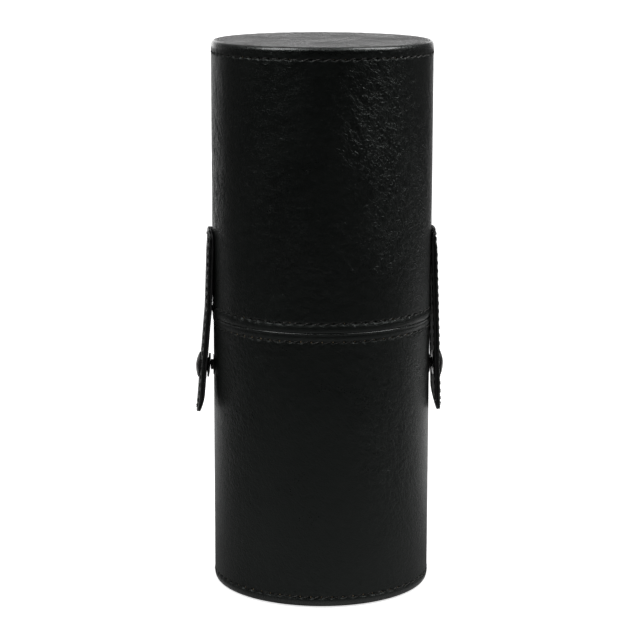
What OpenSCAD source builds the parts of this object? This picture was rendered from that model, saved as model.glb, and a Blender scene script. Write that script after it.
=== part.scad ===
// Cylindrical travel case in two cups: a lower cup with a neck sleeve, and an
// upper cup that slips over the neck. Two sewn straps hang from the upper cup
// and snap onto the lower one. Millimetres, +Z up, the base stands on z = 0.
// The straps lie on the X axis, and the skins' glued seams face +Y.

/* [Case] */
// Outside diameter of the upper cup
case_d = 86; // [70:1:110]
// Overall height
case_h = 215; // [190:1:260]
// Height of the lower cup, from the base to the parting line
lower_h = 108; // [90:1:130]

/* [Wall] */
// Thickness of the leather skin
skin_t = 0.7; // [0.5:0.1:0.9]
// Thickness of the board tube inside the skin
board_t = 1.7; // [1.4:0.1:3]
// Thickness of the fabric lining
lining_t = 0.7; // [0.4:0.1:1.2]
// How far the skin is turned in at each mouth
turn_in = 10; // [6:1:16]
// Rounding of the skin where it turns in at a mouth
mouth_round = 0.6; // [0.3:0.1:1]
// Width of the open joint where the skin's two edges meet at the back
seam_gap = 0.3; // [0.2:0.1:0.6]
// Depth of that joint
seam_depth = 0.4; // [0.2:0.1:0.5]

/* [Neck] */
// Height of the neck above the parting line
neck_rise = 14; // [8:1:20]
// Depth of the neck below the parting line
neck_depth = 45; // [30:1:60]
// Thickness of the neck's board
neck_board_t = 1.1; // [0.8:0.1:2]
// Thickness of the cloth round the neck's board
neck_wrap_t = 0.5; // [0.3:0.1:0.8]
// Radial clearance between the neck and the upper cup
slip_gap = 0.3; // [0.2:0.05:0.6]

/* [Ends] */
// Thickness of the end boards
end_board_t = 2; // [1.5:0.1:3]
// Thickness of the padded discs inside the two ends
pad_t = 1.5; // [1:0.1:3]
// Gap round each padded disc
pad_gap = 0.2; // [0.1:0.05:0.5]
// Width of the skin's turned lip on the end faces
lip_w = 1.5; // [1.3:0.1:2]
// Open joint between the lip and the cover disc
cover_gap = 0.2; // [0.1:0.05:0.4]
// Rounding of the cover disc's edge and of the lip's inner edge
cover_round = 0.25; // [0.1:0.05:0.3]
// Rounding of the rims
rim_round = 1; // [0.9:0.1:1.4]

/* [Stitching] */
// Height of the stitch row below the top
top_row = 4.6; // [3:0.1:8]
// Height of the stitch row above the base
base_row = 4; // [3:0.1:8]
// Distance of each mouth's stitch row from the parting line
mouth_row = 3.6; // [3:0.1:8]
// Radius of the groove that a stitch row lies in
groove_r = 0.6; // [0.4:0.1:1]
// Depth of that groove
groove_depth = 0.3; // [0.1:0.05:0.4]
// How far the doubled skin swells between a mouth's stitch row and its edge
mouth_swell = 0.3; // [0.1:0.05:0.4]
// How far it swells between the lowest stitch row and the base
base_swell = 0.2; // [0.1:0.05:0.4]

/* [Straps] */
// Width of the straps
strap_w = 18; // [14:1:26]
// Thickness of one of the two leathers of a strap
strap_ply = 1; // [0.8:0.1:1.5]
// Height of the straps' upper ends above the parting line
strap_rise = 33.5; // [26:0.5:40]
// Length of the sewn part, down to the fold
sewn_len = 30.5; // [20:0.5:34]
// Length of the loose tail below the fold
tail_len = 43; // [36:0.5:52]
// Angle at which the sewn part leans away from the wall
strap_lean = 2; // [0:0.5:4]
// Angle of the left tail from upright
tail_tilt_left = 5.7; // [0:0.1:8]
// Angle of the right tail from upright
tail_tilt_right = 2.2; // [2:0.1:8]
// Corner radius of the straps' upper ends
strap_corner = 4; // [1:0.5:7]
// Open gap at the fold
fold_gap = 0.3; // [0.2:0.05:0.6]
// Distance of a strap's stitch line from its edge
strap_stitch_inset = 1.8; // [1.2:0.1:3]
// Width of the groove that the stitch line lies in
strap_groove_w = 0.7; // [0.4:0.1:1.2]
// Depth of that groove
strap_groove_depth = 0.2; // [0.1:0.05:0.4]

/* [Snaps] */
// Distance of the snaps below the fold, along the tail
snap_drop = 24; // [20:0.5:28]
// Diameter of the snap caps
cap_d = 10; // [8:0.5:12.5]
// Height of the caps above the strap
cap_h = 1.6; // [1:0.1:2.5]
// Height of a cap's upright rim
cap_edge = 0.5; // [0.3:0.1:0.8]
// Depth at which a cap is let into the strap
cap_seat = 0.4; // [0.4:0.05:0.6]
// Diameter of the caps' barrel
barrel_d = 3.4; // [2.5:0.1:4]
// Diameter of the barrel's rolled end inside the socket
barrel_roll_d = 4.2; // [3.6:0.1:4.6]
// Thickness of that rolled end
barrel_roll_t = 0.25; // [0.2:0.05:0.4]
// Diameter of the sockets' flange
socket_d = 9.6; // [8:0.1:12]
// Thickness of the sockets' flange
socket_flange_t = 0.6; // [0.5:0.1:1]
// Diameter of the sockets' hub
socket_hub_d = 6.8; // [6:0.1:8]
// Depth at which a socket's hub is let into the strap
socket_seat = 0.5; // [0.4:0.05:0.7]
// Thickness of the sockets' back wall
socket_back_t = 0.35; // [0.3:0.05:0.6]
// Diameter of the sockets' mouth
mouth_d = 5; // [4.6:0.1:5.6]
// Diameter of the sockets' spring groove behind the mouth
spring_d = 5.6; // [5:0.1:6.4]
// Distance of a socket's mouth from the lower cup's wall
snap_reach = 1.4; // [1.2:0.1:2.5]
// Clearance between a stud's tip and the socket's mouth
snap_clear = 0.4; // [0.3:0.05:0.6]
// Diameter of the studs' head
stud_d = 4.4; // [3.6:0.1:4.8]
// Diameter of the studs' waist
stud_waist_d = 4; // [3.4:0.1:4.6]
// Diameter of the studs' base
stud_base_d = 8.2; // [7:0.1:10]
// Thickness of the studs' base
stud_base_t = 0.5; // [0.4:0.05:0.8]
// Depth at which a stud's base is let into the skin
stud_seat = 0.3; // [0.25:0.05:0.4]
// Diameter of the rivets' post
post_d = 2.6; // [2:0.1:3.2]
// Diameter of the rivets' head
rivet_head_d = 6.8; // [5:0.1:8]
// Thickness of the rivets' head
rivet_head_t = 0.6; // [0.4:0.05:0.8]
// Radial clearance round posts, barrels and seats
fit_gap = 0.05; // [0.02:0.01:0.15]

/* [Hidden] */
$fn = 96;
left = -1;
right = 1;

// Radii of the upper cup, from the outside in
upper_r = case_d / 2;
upper_board_r = upper_r - skin_t;
upper_lining_r = upper_board_r - board_t;
upper_bore_r = upper_lining_r - lining_t;

// Radii of the neck, then of the lower cup, whose lining is glued to the neck
neck_r = upper_bore_r - slip_gap;
neck_board_r = neck_r - neck_wrap_t;
neck_inner_r = neck_board_r - neck_board_t;
neck_bore_r = neck_inner_r - neck_wrap_t;
lower_lining_r = neck_r + lining_t;
lower_board_r = lower_lining_r + board_t;
lower_r = lower_board_r + skin_t;

// Heights
upper_h = case_h - lower_h;
strap_top_z = lower_h + strap_rise;
neck_bottom_z = lower_h - neck_depth;
neck_top_z = lower_h + neck_rise;

// Straps before they lean out: both leathers are curved to the wall, and the fold
// line runs across the front leather's outer face
strap_t = 2 * strap_ply;
ply_r = upper_r + strap_ply;
strap_r = upper_r + strap_t;
fold_z = strap_top_z - sewn_len;
// The fold line after leaning, which is the tails' pivot
pivot_x = upper_r + strap_t * cos(strap_lean) + sewn_len * sin(strap_lean);
pivot_z = strap_top_z + strap_t * sin(strap_lean) - sewn_len * cos(strap_lean);

// Where the tails' inner face stands at the snap, and the stud that faces it
snap_z = pivot_z - snap_drop;
mouth_x = lower_r + snap_reach;
stud_tip_x = mouth_x - snap_clear;
stud_base_x = lower_r - stud_seat;
rivet_seat_x = lower_lining_r + rivet_head_t + fit_gap;
overrun = 1;

function tail_tilt(side) = side == left ? tail_tilt_left : tail_tilt_right;

// Distance between a socket's mouth and the tail's inner face, along the snap's axis
function socket_reach(side) =
  (pivot_x + snap_drop * sin(tail_tilt(side)) - mouth_x) / cos(tail_tilt(side)) - strap_t;

// ---- Building blocks ----

// Tube between two radii and two heights
module ring(outer_r, inner_r, low, high) {
  translate([0, 0, low])
    difference() {
      cylinder(r = outer_r, h = high - low);
      translate([0, 0, -overrun])
        cylinder(r = inner_r, h = high - low + 2 * overrun);
    }
}

// Half section of a plug with two rounded outer edges
module plug_section(radius, low, high, low_round, high_round) {
  translate([0, low + low_round])
    square([radius, high - low - low_round - high_round]);
  translate([0, low])
    square([radius - low_round, high - low]);
  translate([0, low])
    square([radius - high_round, high - low]);
  translate([radius - low_round, low + low_round])
    circle(r = low_round);
  translate([radius - high_round, high - high_round])
    circle(r = high_round);
}

// Round swelling of a wall between two heights
module swell_section(radius, low, high, rise) {
  half = (high - low) / 2;
  bow_r = (half * half + rise * rise) / (2 * rise);
  intersection() {
    translate([radius + rise - bow_r, low + half])
      circle(r = bow_r);
    translate([radius - skin_t / 2, low])
      square([skin_t, high - low]);
  }
}

// Round groove in the outside of a wall
module groove_section(radius, height) {
  translate([radius + groove_r - groove_depth, height])
    circle(r = groove_r);
}

// Open joint down the back of a skin, where its two edges meet
module back_seam(radius, low, high) {
  translate([-seam_gap / 2, radius - seam_depth, low])
    cube([seam_gap, seam_depth + overrun, high - low]);
}

// Skin of a cup that stands mouth up: its bottom edge is turned in to a lip on
// the end face, and its top edge over the mouth and down the inside
module skin_section(radius, height, end_row, end_swell) {
  board_r = radius - skin_t;
  inner_r = board_r - board_t;
  bore_r = inner_r - lining_t;
  difference() {
    union() {
      plug_section(radius, 0, height, rim_round, mouth_round);
      swell_section(radius, height - mouth_row + groove_r, height - mouth_round / 2, mouth_swell);
      if (end_swell > 0)
        swell_section(radius, rim_round, end_row - groove_r, end_swell);
    }
    // The board inside the skin
    difference() {
      plug_section(board_r, skin_t, height - skin_t, rim_round - skin_t, mouth_round / 2);
      translate([0, height - turn_in])
        square([inner_r, turn_in]);
    }
    // The open end face within the lip
    translate([0, -overrun])
      square([radius - lip_w, height - turn_in + overrun]);
    // The hollow of the cup
    translate([0, -overrun])
      square([bore_r, height + 2 * overrun]);
    groove_section(radius, end_row);
    groove_section(radius, height - mouth_row);
  }
}

module cup_skin(radius, height, end_row, end_swell) {
  difference() {
    rotate_extrude()
      skin_section(radius, height, end_row, end_swell);
    back_seam(radius, rim_round, height - mouth_round);
  }
}

// Board tube of a cup that stands mouth up
module cup_board(radius, height) {
  rotate_extrude()
    difference() {
      plug_section(radius, skin_t, height - skin_t, rim_round - skin_t, mouth_round / 2);
      square([radius - board_t, height]);
    }
}

// Lining of a cup that stands mouth up, from the end board to the turned-in skin
module cup_lining(radius, height) {
  ring(radius, radius - lining_t, skin_t + end_board_t, height - turn_in);
}

// Disc of leather on an end face, with its rounded edge outside
module cover_disc(radius) {
  rotate_extrude()
    intersection() {
      plug_section(radius - lip_w - cover_gap, 0, skin_t + overrun, cover_round, cover_round);
      square([radius, skin_t]);
    }
}

module end_board(radius) {
  translate([0, 0, skin_t])
    cylinder(r = radius, h = end_board_t);
}

// Padded disc on an end board, within the lining
module end_pad(radius) {
  translate([0, 0, skin_t + end_board_t])
    rotate_extrude()
      intersection() {
        plug_section(radius - pad_gap, -overrun, pad_t, pad_t / 3, pad_t / 3);
        square([radius, pad_t]);
      }
}

// Stands a cup's piece on its head, at the top of the case
module on_top() {
  translate([0, 0, case_h])
    mirror([0, 0, 1])
      children();
}

// Turns a piece of the right-hand side into its left-hand partner
module on_side(side) {
  if (side == left)
    mirror([1, 0, 0])
      children();
  else
    children();
}

// ---- Snaps ----

// Lays a revolved piece along +X, with its origin on the wall at the snap's height
module along_snap(from_x) {
  translate([from_x, 0, snap_z])
    rotate([0, 90, 0])
      children();
}

// Places a piece in the tail: the tail stands upright in its own frame, with the
// fold line at strap_r and fold_z
module on_tail(side) {
  translate([pivot_x, 0, pivot_z])
    rotate([0, -tail_tilt(side), 0])
      translate([-strap_r, 0, -fold_z])
        children();
}

// Lays a revolved piece along the snap's axis in the tail's own frame
module across_tail(from_x) {
  translate([from_x, 0, fold_z - snap_drop])
    rotate([0, 90, 0])
      children();
}

// Stud on the lower cup: a base let into the skin, a waist, a head and a blind
// bore for the rivet's post
module stud() {
  tip_h = stud_tip_x - stud_base_x;
  head_h = (tip_h - stud_base_t) / 2;
  along_snap(stud_base_x)
    difference() {
      union() {
        cylinder(d = stud_base_d, h = stud_base_t);
        cylinder(d = stud_waist_d, h = tip_h - head_h / 2);
        translate([0, 0, tip_h - head_h])
          rotate_extrude()
            intersection() {
              plug_section(stud_d / 2, 0, head_h, head_h / 3, head_h / 3);
              square([stud_d, head_h]);
            }
      }
      translate([0, 0, -overrun])
        cylinder(d = post_d + 2 * fit_gap, h = overrun + stud_base_t + fit_gap);
    }
}

// Rivet that clamps the stud: its head lies in the board, under the lining
module stud_rivet() {
  along_snap(rivet_seat_x - rivet_head_t)
    union() {
      cylinder(d = rivet_head_d, h = rivet_head_t);
      cylinder(d = post_d, h = stud_base_x + stud_base_t - rivet_seat_x + rivet_head_t);
    }
}

// Cut for both through the lower cup's wall
module stud_cut() {
  along_snap(stud_base_x)
    cylinder(d = stud_base_d + 2 * fit_gap, h = stud_seat + mouth_swell + overrun);
  along_snap(lower_lining_r - overrun)
    cylinder(d = post_d + 2 * fit_gap, h = board_t + skin_t + 2 * overrun);
  along_snap(lower_lining_r - overrun)
    cylinder(d = rivet_head_d + 2 * fit_gap, h = rivet_seat_x - lower_lining_r + overrun);
}

// Domed cap with the barrel that runs through the strap into the socket
module snap_cap(side) {
  dome_h = cap_h - cap_edge;
  cap_r = cap_d / 2;
  dome_r = (cap_r * cap_r + dome_h * dome_h) / (2 * dome_h);
  barrel_l = strap_t - cap_seat - socket_seat + socket_back_t;
  across_tail(strap_r - cap_seat) {
    rotate_extrude()
      intersection() {
        translate([0, cap_seat + cap_h - dome_r])
          circle(r = dome_r, $fn = 180);
        square([cap_r, cap_seat + cap_h]);
      }
    translate([0, 0, -barrel_l])
      cylinder(d = barrel_d, h = barrel_l);
    translate([0, 0, -barrel_l - barrel_roll_t])
      cylinder(d = barrel_roll_d, h = barrel_roll_t);
  }
}

// Socket with a wide flange, a hub let into the strap, and a mouth with the
// spring's groove behind it
module snap_socket(side) {
  reach = socket_reach(side);
  depth = reach + socket_seat - socket_back_t;
  across_tail(upper_r - reach)
    difference() {
      union() {
        cylinder(d = socket_d, h = socket_flange_t);
        cylinder(d = socket_hub_d, h = reach + socket_seat);
      }
      translate([0, 0, -overrun])
        cylinder(d = mouth_d, h = depth + overrun);
      translate([0, 0, socket_flange_t / 2])
        cylinder(d = spring_d, h = depth - socket_flange_t / 2);
      cylinder(d = barrel_d + 2 * fit_gap, h = reach + socket_seat + overrun);
    }
}

// Cuts for the cap, the barrel and the socket through a tail
module snap_cut(side) {
  reach = socket_reach(side);
  across_tail(strap_r - cap_seat)
    cylinder(d = cap_d + 2 * fit_gap, h = cap_seat + overrun);
  across_tail(upper_r - overrun)
    cylinder(d = barrel_d + 2 * fit_gap, h = strap_t + 2 * overrun);
  across_tail(upper_r - overrun)
    cylinder(d = socket_hub_d + 2 * fit_gap, h = socket_seat + overrun);
  across_tail(upper_r - reach - overrun)
    cylinder(d = socket_d + 4 * fit_gap, h = socket_flange_t + 2 * fit_gap + overrun);
}

// ---- Straps ----

// Outline of the sewn part, seen from its front, drawn in by an inset
module sewn_outline(inset) {
  corner = strap_corner - inset;
  half_w = strap_w / 2 - inset;
  top_z = strap_top_z - inset;
  translate([-half_w, fold_z])
    square([2 * half_w, top_z - corner - fold_z]);
  translate([-half_w + corner, fold_z])
    square([2 * (half_w - corner), top_z - fold_z]);
  for (x = [-half_w + corner, half_w - corner])
    translate([x, top_z - corner])
      circle(r = corner);
}

// Outline of the tail, with its full round tip
module tail_outline(inset) {
  half_w = strap_w / 2 - inset;
  tip_z = fold_z - tail_len + inset;
  translate([-half_w, tip_z + half_w])
    square([2 * half_w, tail_len]);
  translate([0, tip_z + half_w])
    circle(r = half_w);
}

// Runs an outline through the strap, from the wall outwards
module through_strap() {
  rotate([90, 0, 90])
    linear_extrude(height = 2 * upper_r)
      children();
}

// One leather of the sewn part, between two radii
module sewn_ply(inner_r, outer_r) {
  intersection() {
    ring(outer_r, inner_r, fold_z + fold_gap, strap_top_z + overrun);
    through_strap()
      sewn_outline(0);
  }
}

// One leather of the tail, between two radii
module tail_ply(inner_r, outer_r) {
  intersection() {
    ring(outer_r, inner_r, fold_z - tail_len - overrun, fold_z);
    through_strap()
      tail_outline(0);
  }
}

// Groove for a stitch line that follows an outline
module stitch_groove(low, high) {
  intersection() {
    difference() {
      through_strap()
        children(0);
      through_strap()
        children(1);
    }
    ring(strap_r + overrun, strap_r - strap_groove_depth, low, high);
  }
}

module sewn_place(side) {
  on_side(side)
    translate([upper_r, 0, strap_top_z])
      rotate([0, -strap_lean, 0])
        translate([-upper_r, 0, -strap_top_z])
          children();
}

module tail_place(side) {
  on_side(side)
    on_tail(side)
      children();
}

// ---- Lower cup ----

module lower_skin() {
  color([0.11, 0.12, 0.12])
    difference() {
      cup_skin(lower_r, lower_h, base_row, base_swell);
      for (side = [left, right])
        on_side(side)
          stud_cut();
    }
}

module lower_board() {
  color([0.62, 0.58, 0.5])
    difference() {
      cup_board(lower_board_r, lower_h);
      for (side = [left, right])
        on_side(side)
          stud_cut();
    }
}

module lower_lining() {
  color([0.09, 0.09, 0.1])
    cup_lining(lower_lining_r, lower_h);
}

module base_board() {
  color([0.62, 0.58, 0.5])
    end_board(lower_lining_r);
}

module base_cover() {
  color([0.11, 0.12, 0.12])
    cover_disc(lower_r);
}

module base_pad() {
  color([0.09, 0.09, 0.1])
    end_pad(lower_lining_r - lining_t);
}

module neck_board() {
  color([0.62, 0.58, 0.5])
    ring(neck_board_r, neck_inner_r, neck_bottom_z, neck_top_z - neck_wrap_t);
}

// Cloth round the neck: outside, over the top edge and down the inside
module neck_wrap() {
  neck_wall = neck_r - neck_bore_r;
  color([0.09, 0.09, 0.1])
    rotate_extrude()
      difference() {
        plug_section(neck_r, neck_bottom_z, neck_top_z, neck_wrap_t / 2, neck_wall / 3);
        square([neck_bore_r, neck_top_z + overrun]);
        translate([neck_inner_r, neck_bottom_z - overrun])
          square([neck_board_t, neck_rise + neck_depth - neck_wrap_t + overrun]);
      }
}

module stud_left() {
  color([0.13, 0.13, 0.14])
    on_side(left)
      stud();
}

module stud_right() {
  color([0.13, 0.13, 0.14])
    on_side(right)
      stud();
}

module stud_rivet_left() {
  color([0.45, 0.45, 0.46])
    on_side(left)
      stud_rivet();
}

module stud_rivet_right() {
  color([0.45, 0.45, 0.46])
    on_side(right)
      stud_rivet();
}

// ---- Upper cup ----

module upper_skin() {
  color([0.11, 0.12, 0.12])
    on_top()
      cup_skin(upper_r, upper_h, top_row, 0);
}

module upper_board() {
  color([0.62, 0.58, 0.5])
    on_top()
      cup_board(upper_board_r, upper_h);
}

module upper_lining() {
  color([0.09, 0.09, 0.1])
    on_top()
      cup_lining(upper_lining_r, upper_h);
}

module top_board() {
  color([0.62, 0.58, 0.5])
    on_top()
      end_board(upper_lining_r);
}

module top_cover() {
  color([0.13, 0.14, 0.14])
    on_top()
      cover_disc(upper_r);
}

module top_pad() {
  color([0.09, 0.09, 0.1])
    on_top()
      end_pad(upper_bore_r);
}

// Front leather of a strap's sewn part, with its stitch groove
module strap_front(side) {
  color([0.08, 0.085, 0.085])
    sewn_place(side)
      difference() {
        sewn_ply(ply_r, strap_r);
        stitch_groove(fold_z, strap_top_z) {
          sewn_outline(strap_stitch_inset - strap_groove_w / 2);
          sewn_outline(strap_stitch_inset + strap_groove_w / 2);
        }
      }
}

module strap_back(side) {
  color([0.1, 0.1, 0.1])
    sewn_place(side)
      sewn_ply(upper_r, ply_r);
}

module strap_front_left() {
  strap_front(left);
}

module strap_front_right() {
  strap_front(right);
}

module strap_back_left() {
  strap_back(left);
}

module strap_back_right() {
  strap_back(right);
}

// ---- Strap tails ----

module tail_front(side) {
  color([0.08, 0.085, 0.085])
    tail_place(side)
      difference() {
        tail_ply(ply_r, strap_r);
        stitch_groove(fold_z - tail_len, fold_z) {
          tail_outline(strap_stitch_inset - strap_groove_w / 2);
          tail_outline(strap_stitch_inset + strap_groove_w / 2);
        }
        snap_cut(side);
      }
}

module tail_back(side) {
  color([0.1, 0.1, 0.1])
    tail_place(side)
      difference() {
        tail_ply(upper_r, ply_r);
        snap_cut(side);
      }
}

module tail_front_left() {
  tail_front(left);
}

module tail_front_right() {
  tail_front(right);
}

module tail_back_left() {
  tail_back(left);
}

module tail_back_right() {
  tail_back(right);
}

module snap_cap_left() {
  color([0.13, 0.13, 0.14])
    tail_place(left)
      snap_cap(left);
}

module snap_cap_right() {
  color([0.13, 0.13, 0.14])
    tail_place(right)
      snap_cap(right);
}

module snap_socket_left() {
  color([0.13, 0.13, 0.14])
    tail_place(left)
      snap_socket(left);
}

module snap_socket_right() {
  color([0.13, 0.13, 0.14])
    tail_place(right)
      snap_socket(right);
}

lower_skin();
lower_board();
lower_lining();
base_board();
base_cover();
base_pad();
neck_board();
neck_wrap();
stud_left();
stud_right();
stud_rivet_left();
stud_rivet_right();
upper_skin();
upper_board();
upper_lining();
top_board();
top_cover();
top_pad();
strap_front_left();
strap_front_right();
strap_back_left();
strap_back_right();
tail_front_left();
tail_front_right();
tail_back_left();
tail_back_right();
snap_cap_left();
snap_cap_right();
snap_socket_left();
snap_socket_right();
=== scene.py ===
import math

import bmesh
import bpy
import numpy as np
from mathutils import Matrix, Vector, noise


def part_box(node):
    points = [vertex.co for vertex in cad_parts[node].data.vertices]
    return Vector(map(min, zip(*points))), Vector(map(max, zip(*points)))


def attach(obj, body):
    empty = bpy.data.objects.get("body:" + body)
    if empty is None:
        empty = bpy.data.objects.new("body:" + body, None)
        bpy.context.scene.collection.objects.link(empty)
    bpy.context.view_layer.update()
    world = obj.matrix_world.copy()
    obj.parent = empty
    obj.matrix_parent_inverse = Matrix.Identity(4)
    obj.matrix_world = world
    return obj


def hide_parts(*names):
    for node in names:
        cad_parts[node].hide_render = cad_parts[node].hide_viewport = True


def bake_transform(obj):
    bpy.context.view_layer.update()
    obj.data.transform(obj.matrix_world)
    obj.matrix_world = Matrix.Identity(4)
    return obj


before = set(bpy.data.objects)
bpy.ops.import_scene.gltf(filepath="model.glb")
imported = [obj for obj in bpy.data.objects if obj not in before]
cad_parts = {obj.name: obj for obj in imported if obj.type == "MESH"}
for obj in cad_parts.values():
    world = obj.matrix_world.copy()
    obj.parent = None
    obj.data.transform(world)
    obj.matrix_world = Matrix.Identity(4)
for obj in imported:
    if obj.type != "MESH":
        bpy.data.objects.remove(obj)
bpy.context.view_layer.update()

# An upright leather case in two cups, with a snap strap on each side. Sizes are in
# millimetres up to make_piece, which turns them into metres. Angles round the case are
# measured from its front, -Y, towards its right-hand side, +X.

MM = 0.001
SIDES = {"left": -1, "right": 1}


def node_span(node):
    """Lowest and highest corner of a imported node, in millimetres"""
    low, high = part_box(node)
    return np.array(low) / MM, np.array(high) / MM


# ---- Sizes of the wall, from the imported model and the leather's own measures ----

SKIN_T = 0.7
MOUTH_SWELL = 0.3
BASE_SWELL = 0.2
upper_low, upper_high = node_span("upper_skin")
lower_low, lower_high = node_span("lower_skin")
UPPER_R = -upper_low[1] - MOUTH_SWELL
LOWER_R = -lower_low[1] - MOUTH_SWELL
CASE_H = upper_high[2]
PARTING = lower_high[2]
UPPER_H = CASE_H - PARTING
WALL_T = UPPER_R - node_span("upper_lining")[1][0] + SKIN_T
TURN_IN = 10
RIM_ROUND = 1.9
RIM_DROP = 0.14
MOUTH_ROUND = {"upper": 0.25, "lower": 0.45}
MOUTH_SHINE = {"upper": 0.15, "lower": 1}
# The lower cup's mouth stands out a little, over a fine fold: how far, and how far down
MOUTH_BEAD = 0.3
BEAD_REACH = 0.8
MOUTH_FOLD_DROP = 0.95
MOUTH_FOLD_DEPTH = 0.05
MOUTH_FOLD_HALF = 0.3
# Relief of the hide: its sag, its creases and the way they run, the swelling along a row of
# stitches and the dip round each needle hole
SAG_H = 0.045
CREASE_DEPTH = 0.15
CREASE_SLOPE = math.radians(52)
ROW_PUCKER_H, ROW_PUCKER_REACH = 0.07, 1.5
HOLE_DIP, HOLE_DIP_REACH = 0.13, 1.7
# Steps between the wall's rows, which lie closer over a half height round the stitches, the
# mouth and the snap, and in one zone of creases: (height above the closed end, half, step)
ROW_STEP = 1
STITCHED_HALF, STITCHED_STEP = 1.5, 0.26
MOUTH_HALF, MOUTH_STEP = 0.9, 0.26
CREASED = (36.8, 10, 0.5)
SNAP_HALF, SNAP_STEP = 5.4, 0.36
LIP_W = 1.5
LIP_ROUND = 0.25
COVER_GAP = 0.2
TOP_ROW = 4.6
BASE_ROW = 4
MOUTH_ROW = 3.6
ROW_GROOVE = 0.26
ROW_GROOVE_HALF = 0.65

# ---- Stitching ----

STITCHES = 64
COLUMNS_PER_STITCH = 8
COLUMNS = STITCHES * COLUMNS_PER_STITCH
PITCH = math.tau / STITCHES
THREAD_R = 0.17
HOLE_R = 0.68
HOLE_DEPTH = 0.6
SLANT = 0.46
# How deep the glued seam up the back is, at its middle and one and two columns beside it
SEAM_DEPTHS = [0.4, 0.02, -0.03]

# ---- Straps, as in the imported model, but the tails a little closer to the wall ----

STRAP_W = 18
STRAP_T = 2
PLY_T = 1
STRAP_TOP = PARTING + 33.5
SEWN_LEN = 30.5
TAIL_LEN = 43
LEAN = math.radians(2)
TILT = {"left": math.radians(4.9), "right": math.radians(1.75)}
FOLD_Z = STRAP_TOP - SEWN_LEN
STRAP_R = UPPER_R + STRAP_T
PIVOT_X = UPPER_R + STRAP_T * math.cos(LEAN) + SEWN_LEN * math.sin(LEAN)
PIVOT_Z = STRAP_TOP + STRAP_T * math.sin(LEAN) - SEWN_LEN * math.cos(LEAN)
BEND_REACH = 3
CORNER_R = 4
STITCH_INSET = 1.8
STRAP_GROOVE = 0.2
STRAP_EDGE_ROUND = 0.35
# How far the front swells between its stitches, and in a ring round the cap
STRAP_SWELL = 0.12
CAP_RING_H, CAP_RING_HALF = 0.06, 1.1
# How much the strap's upper end is thinned, and how far it curls off the wall
SKIVE = {"left": 0.2, "right": 0.6}
CURL = {"left": 0.35, "right": 0.8}
SKIVE_LEN = 8
# How much of the strap's hollow is lost on its free part
FLATTENING = 0.15
# How much the strap's end is thinned from behind
TIP_SKIVE = 0.25
STRAP_PITCH = 3.2

# ---- Snaps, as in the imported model, but with a slimmer neck and a crowned stud ----

SNAP_DROP = 24
SNAP_Z = PIVOT_Z - SNAP_DROP
CAP_R = 5
CAP_H = 1.6
CAP_EDGE = 0.5
CAP_SEAT = 0.4
BARREL_R = 1.7
BARREL_ROLL_R = 2.1
BARREL_ROLL_T = 0.25
SOCKET_R = 4.8
FLANGE_T = 0.6
FLANGE_STOUT = 0.85
HUB_R = 3.1
NECK_R = 2.45
NECK_BORE_R = 2.2
SHOULDER = 1.05
SOCKET_SEAT = 0.5
SOCKET_BACK = 0.35
MOUTH_R = 2.5
SPRING_R = 2.8
SNAP_REACH = 1.4
SNAP_CLEAR = 0.4
STUD_R = 2.2
STUD_WAIST_R = 2
STUD_BASE_R = 4.1
STUD_BASE_T = 0.5
STUD_SEAT = 0.3
STUD_CROWN = 0.3
POST_R = 1.3
FIT = 0.05

# ---- The camera, as fitted to the photograph: metres, degrees and millimetres of lens ----

CAMERA_DISTANCE = 0.837
CAMERA_HEIGHT = 0.2744
CAMERA_SIDE = -3.2
LOOK_DOWN = 11.472
LOOK_LEFT = 0.043
ROLL = 0.15
LENS = 121.5

# ---- The lamps: azimuth, elevation, distance, width, length, level with white at 1 ----

LAMP_AIM = 0.11
LAMPS = {
    "left softbox": (-64, 40, 1.5, 0.6, 0.4, 3.5),
    "right softbox": (80, 38, 1.5, 0.6, 0.4, 4.0),
    "high left panel": (-66, 60, 1.5, 0.8, 0.8, 4.0),
    "high right panel": (82, 58, 1.5, 0.8, 0.8, 5.0),
    "right side panel": (80, 10, 1.4, 0.5, 0.5, 0.15),
}

# ---- Small tools for shapes ----


def ease(value):
    """From 0 to 1 with soft ends"""
    t = np.clip(value, 0, 1)
    return t * t * (3 - 2 * t)


def bump_at(distance, reach):
    """1 at no distance, falling softly to 0 at reach"""
    return 1 - ease(np.abs(distance) / reach)


def ripple(points, size, seed):
    """Smooth noise from -1 to 1 at each point, with hills about size across"""
    scaled = np.asarray(points, float) / size + seed
    return np.array([noise.noise(p) for p in scaled.tolist()])


def creases(points, size, width, seed):
    """How deep a net of creases cuts in at each point, from 0 to 1"""
    drift = [ripple(points, size * 1.7, seed + 10 * k) for k in (1, 2)]
    moved = np.array(points, float)
    moved[:, 0] += 0.6 * size * drift[0]
    moved[:, 1] += 0.6 * size * drift[1]
    return bump_at(ripple(moved, size, seed), width)


def sheet_points(along, up, slope, stretch):
    """Points of a flat sheet for noise that runs longer down to the right"""
    run = along * math.cos(slope) - up * math.sin(slope)
    cross = along * math.sin(slope) + up * math.cos(slope)
    return np.stack([run / stretch, cross, np.zeros_like(run)], 1)


def in_scene(name, data):
    """A new object of the scene"""
    made = bpy.data.objects.new(name, data)
    bpy.context.scene.collection.objects.link(made)
    return made


def make_piece(name, points, faces, finish, marks=None):
    """A smooth mesh object from points in millimetres. marks are named values, one a point"""
    mesh = bpy.data.meshes.new(name)
    mesh.from_pydata((np.asarray(points, float) * MM).tolist(), [], faces)
    for mark, values in (marks or {}).items():
        layer = mesh.attributes.new(mark, "FLOAT", "POINT")
        layer.data.foreach_set("value", np.asarray(values, np.float32))
    shaped = bmesh.new()
    shaped.from_mesh(mesh)
    bmesh.ops.recalc_face_normals(shaped, faces=shaped.faces)
    shaped.to_mesh(mesh)
    shaped.free()
    mesh.shade_smooth()
    mesh.materials.append(finish)
    return in_scene(name, mesh)


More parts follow.
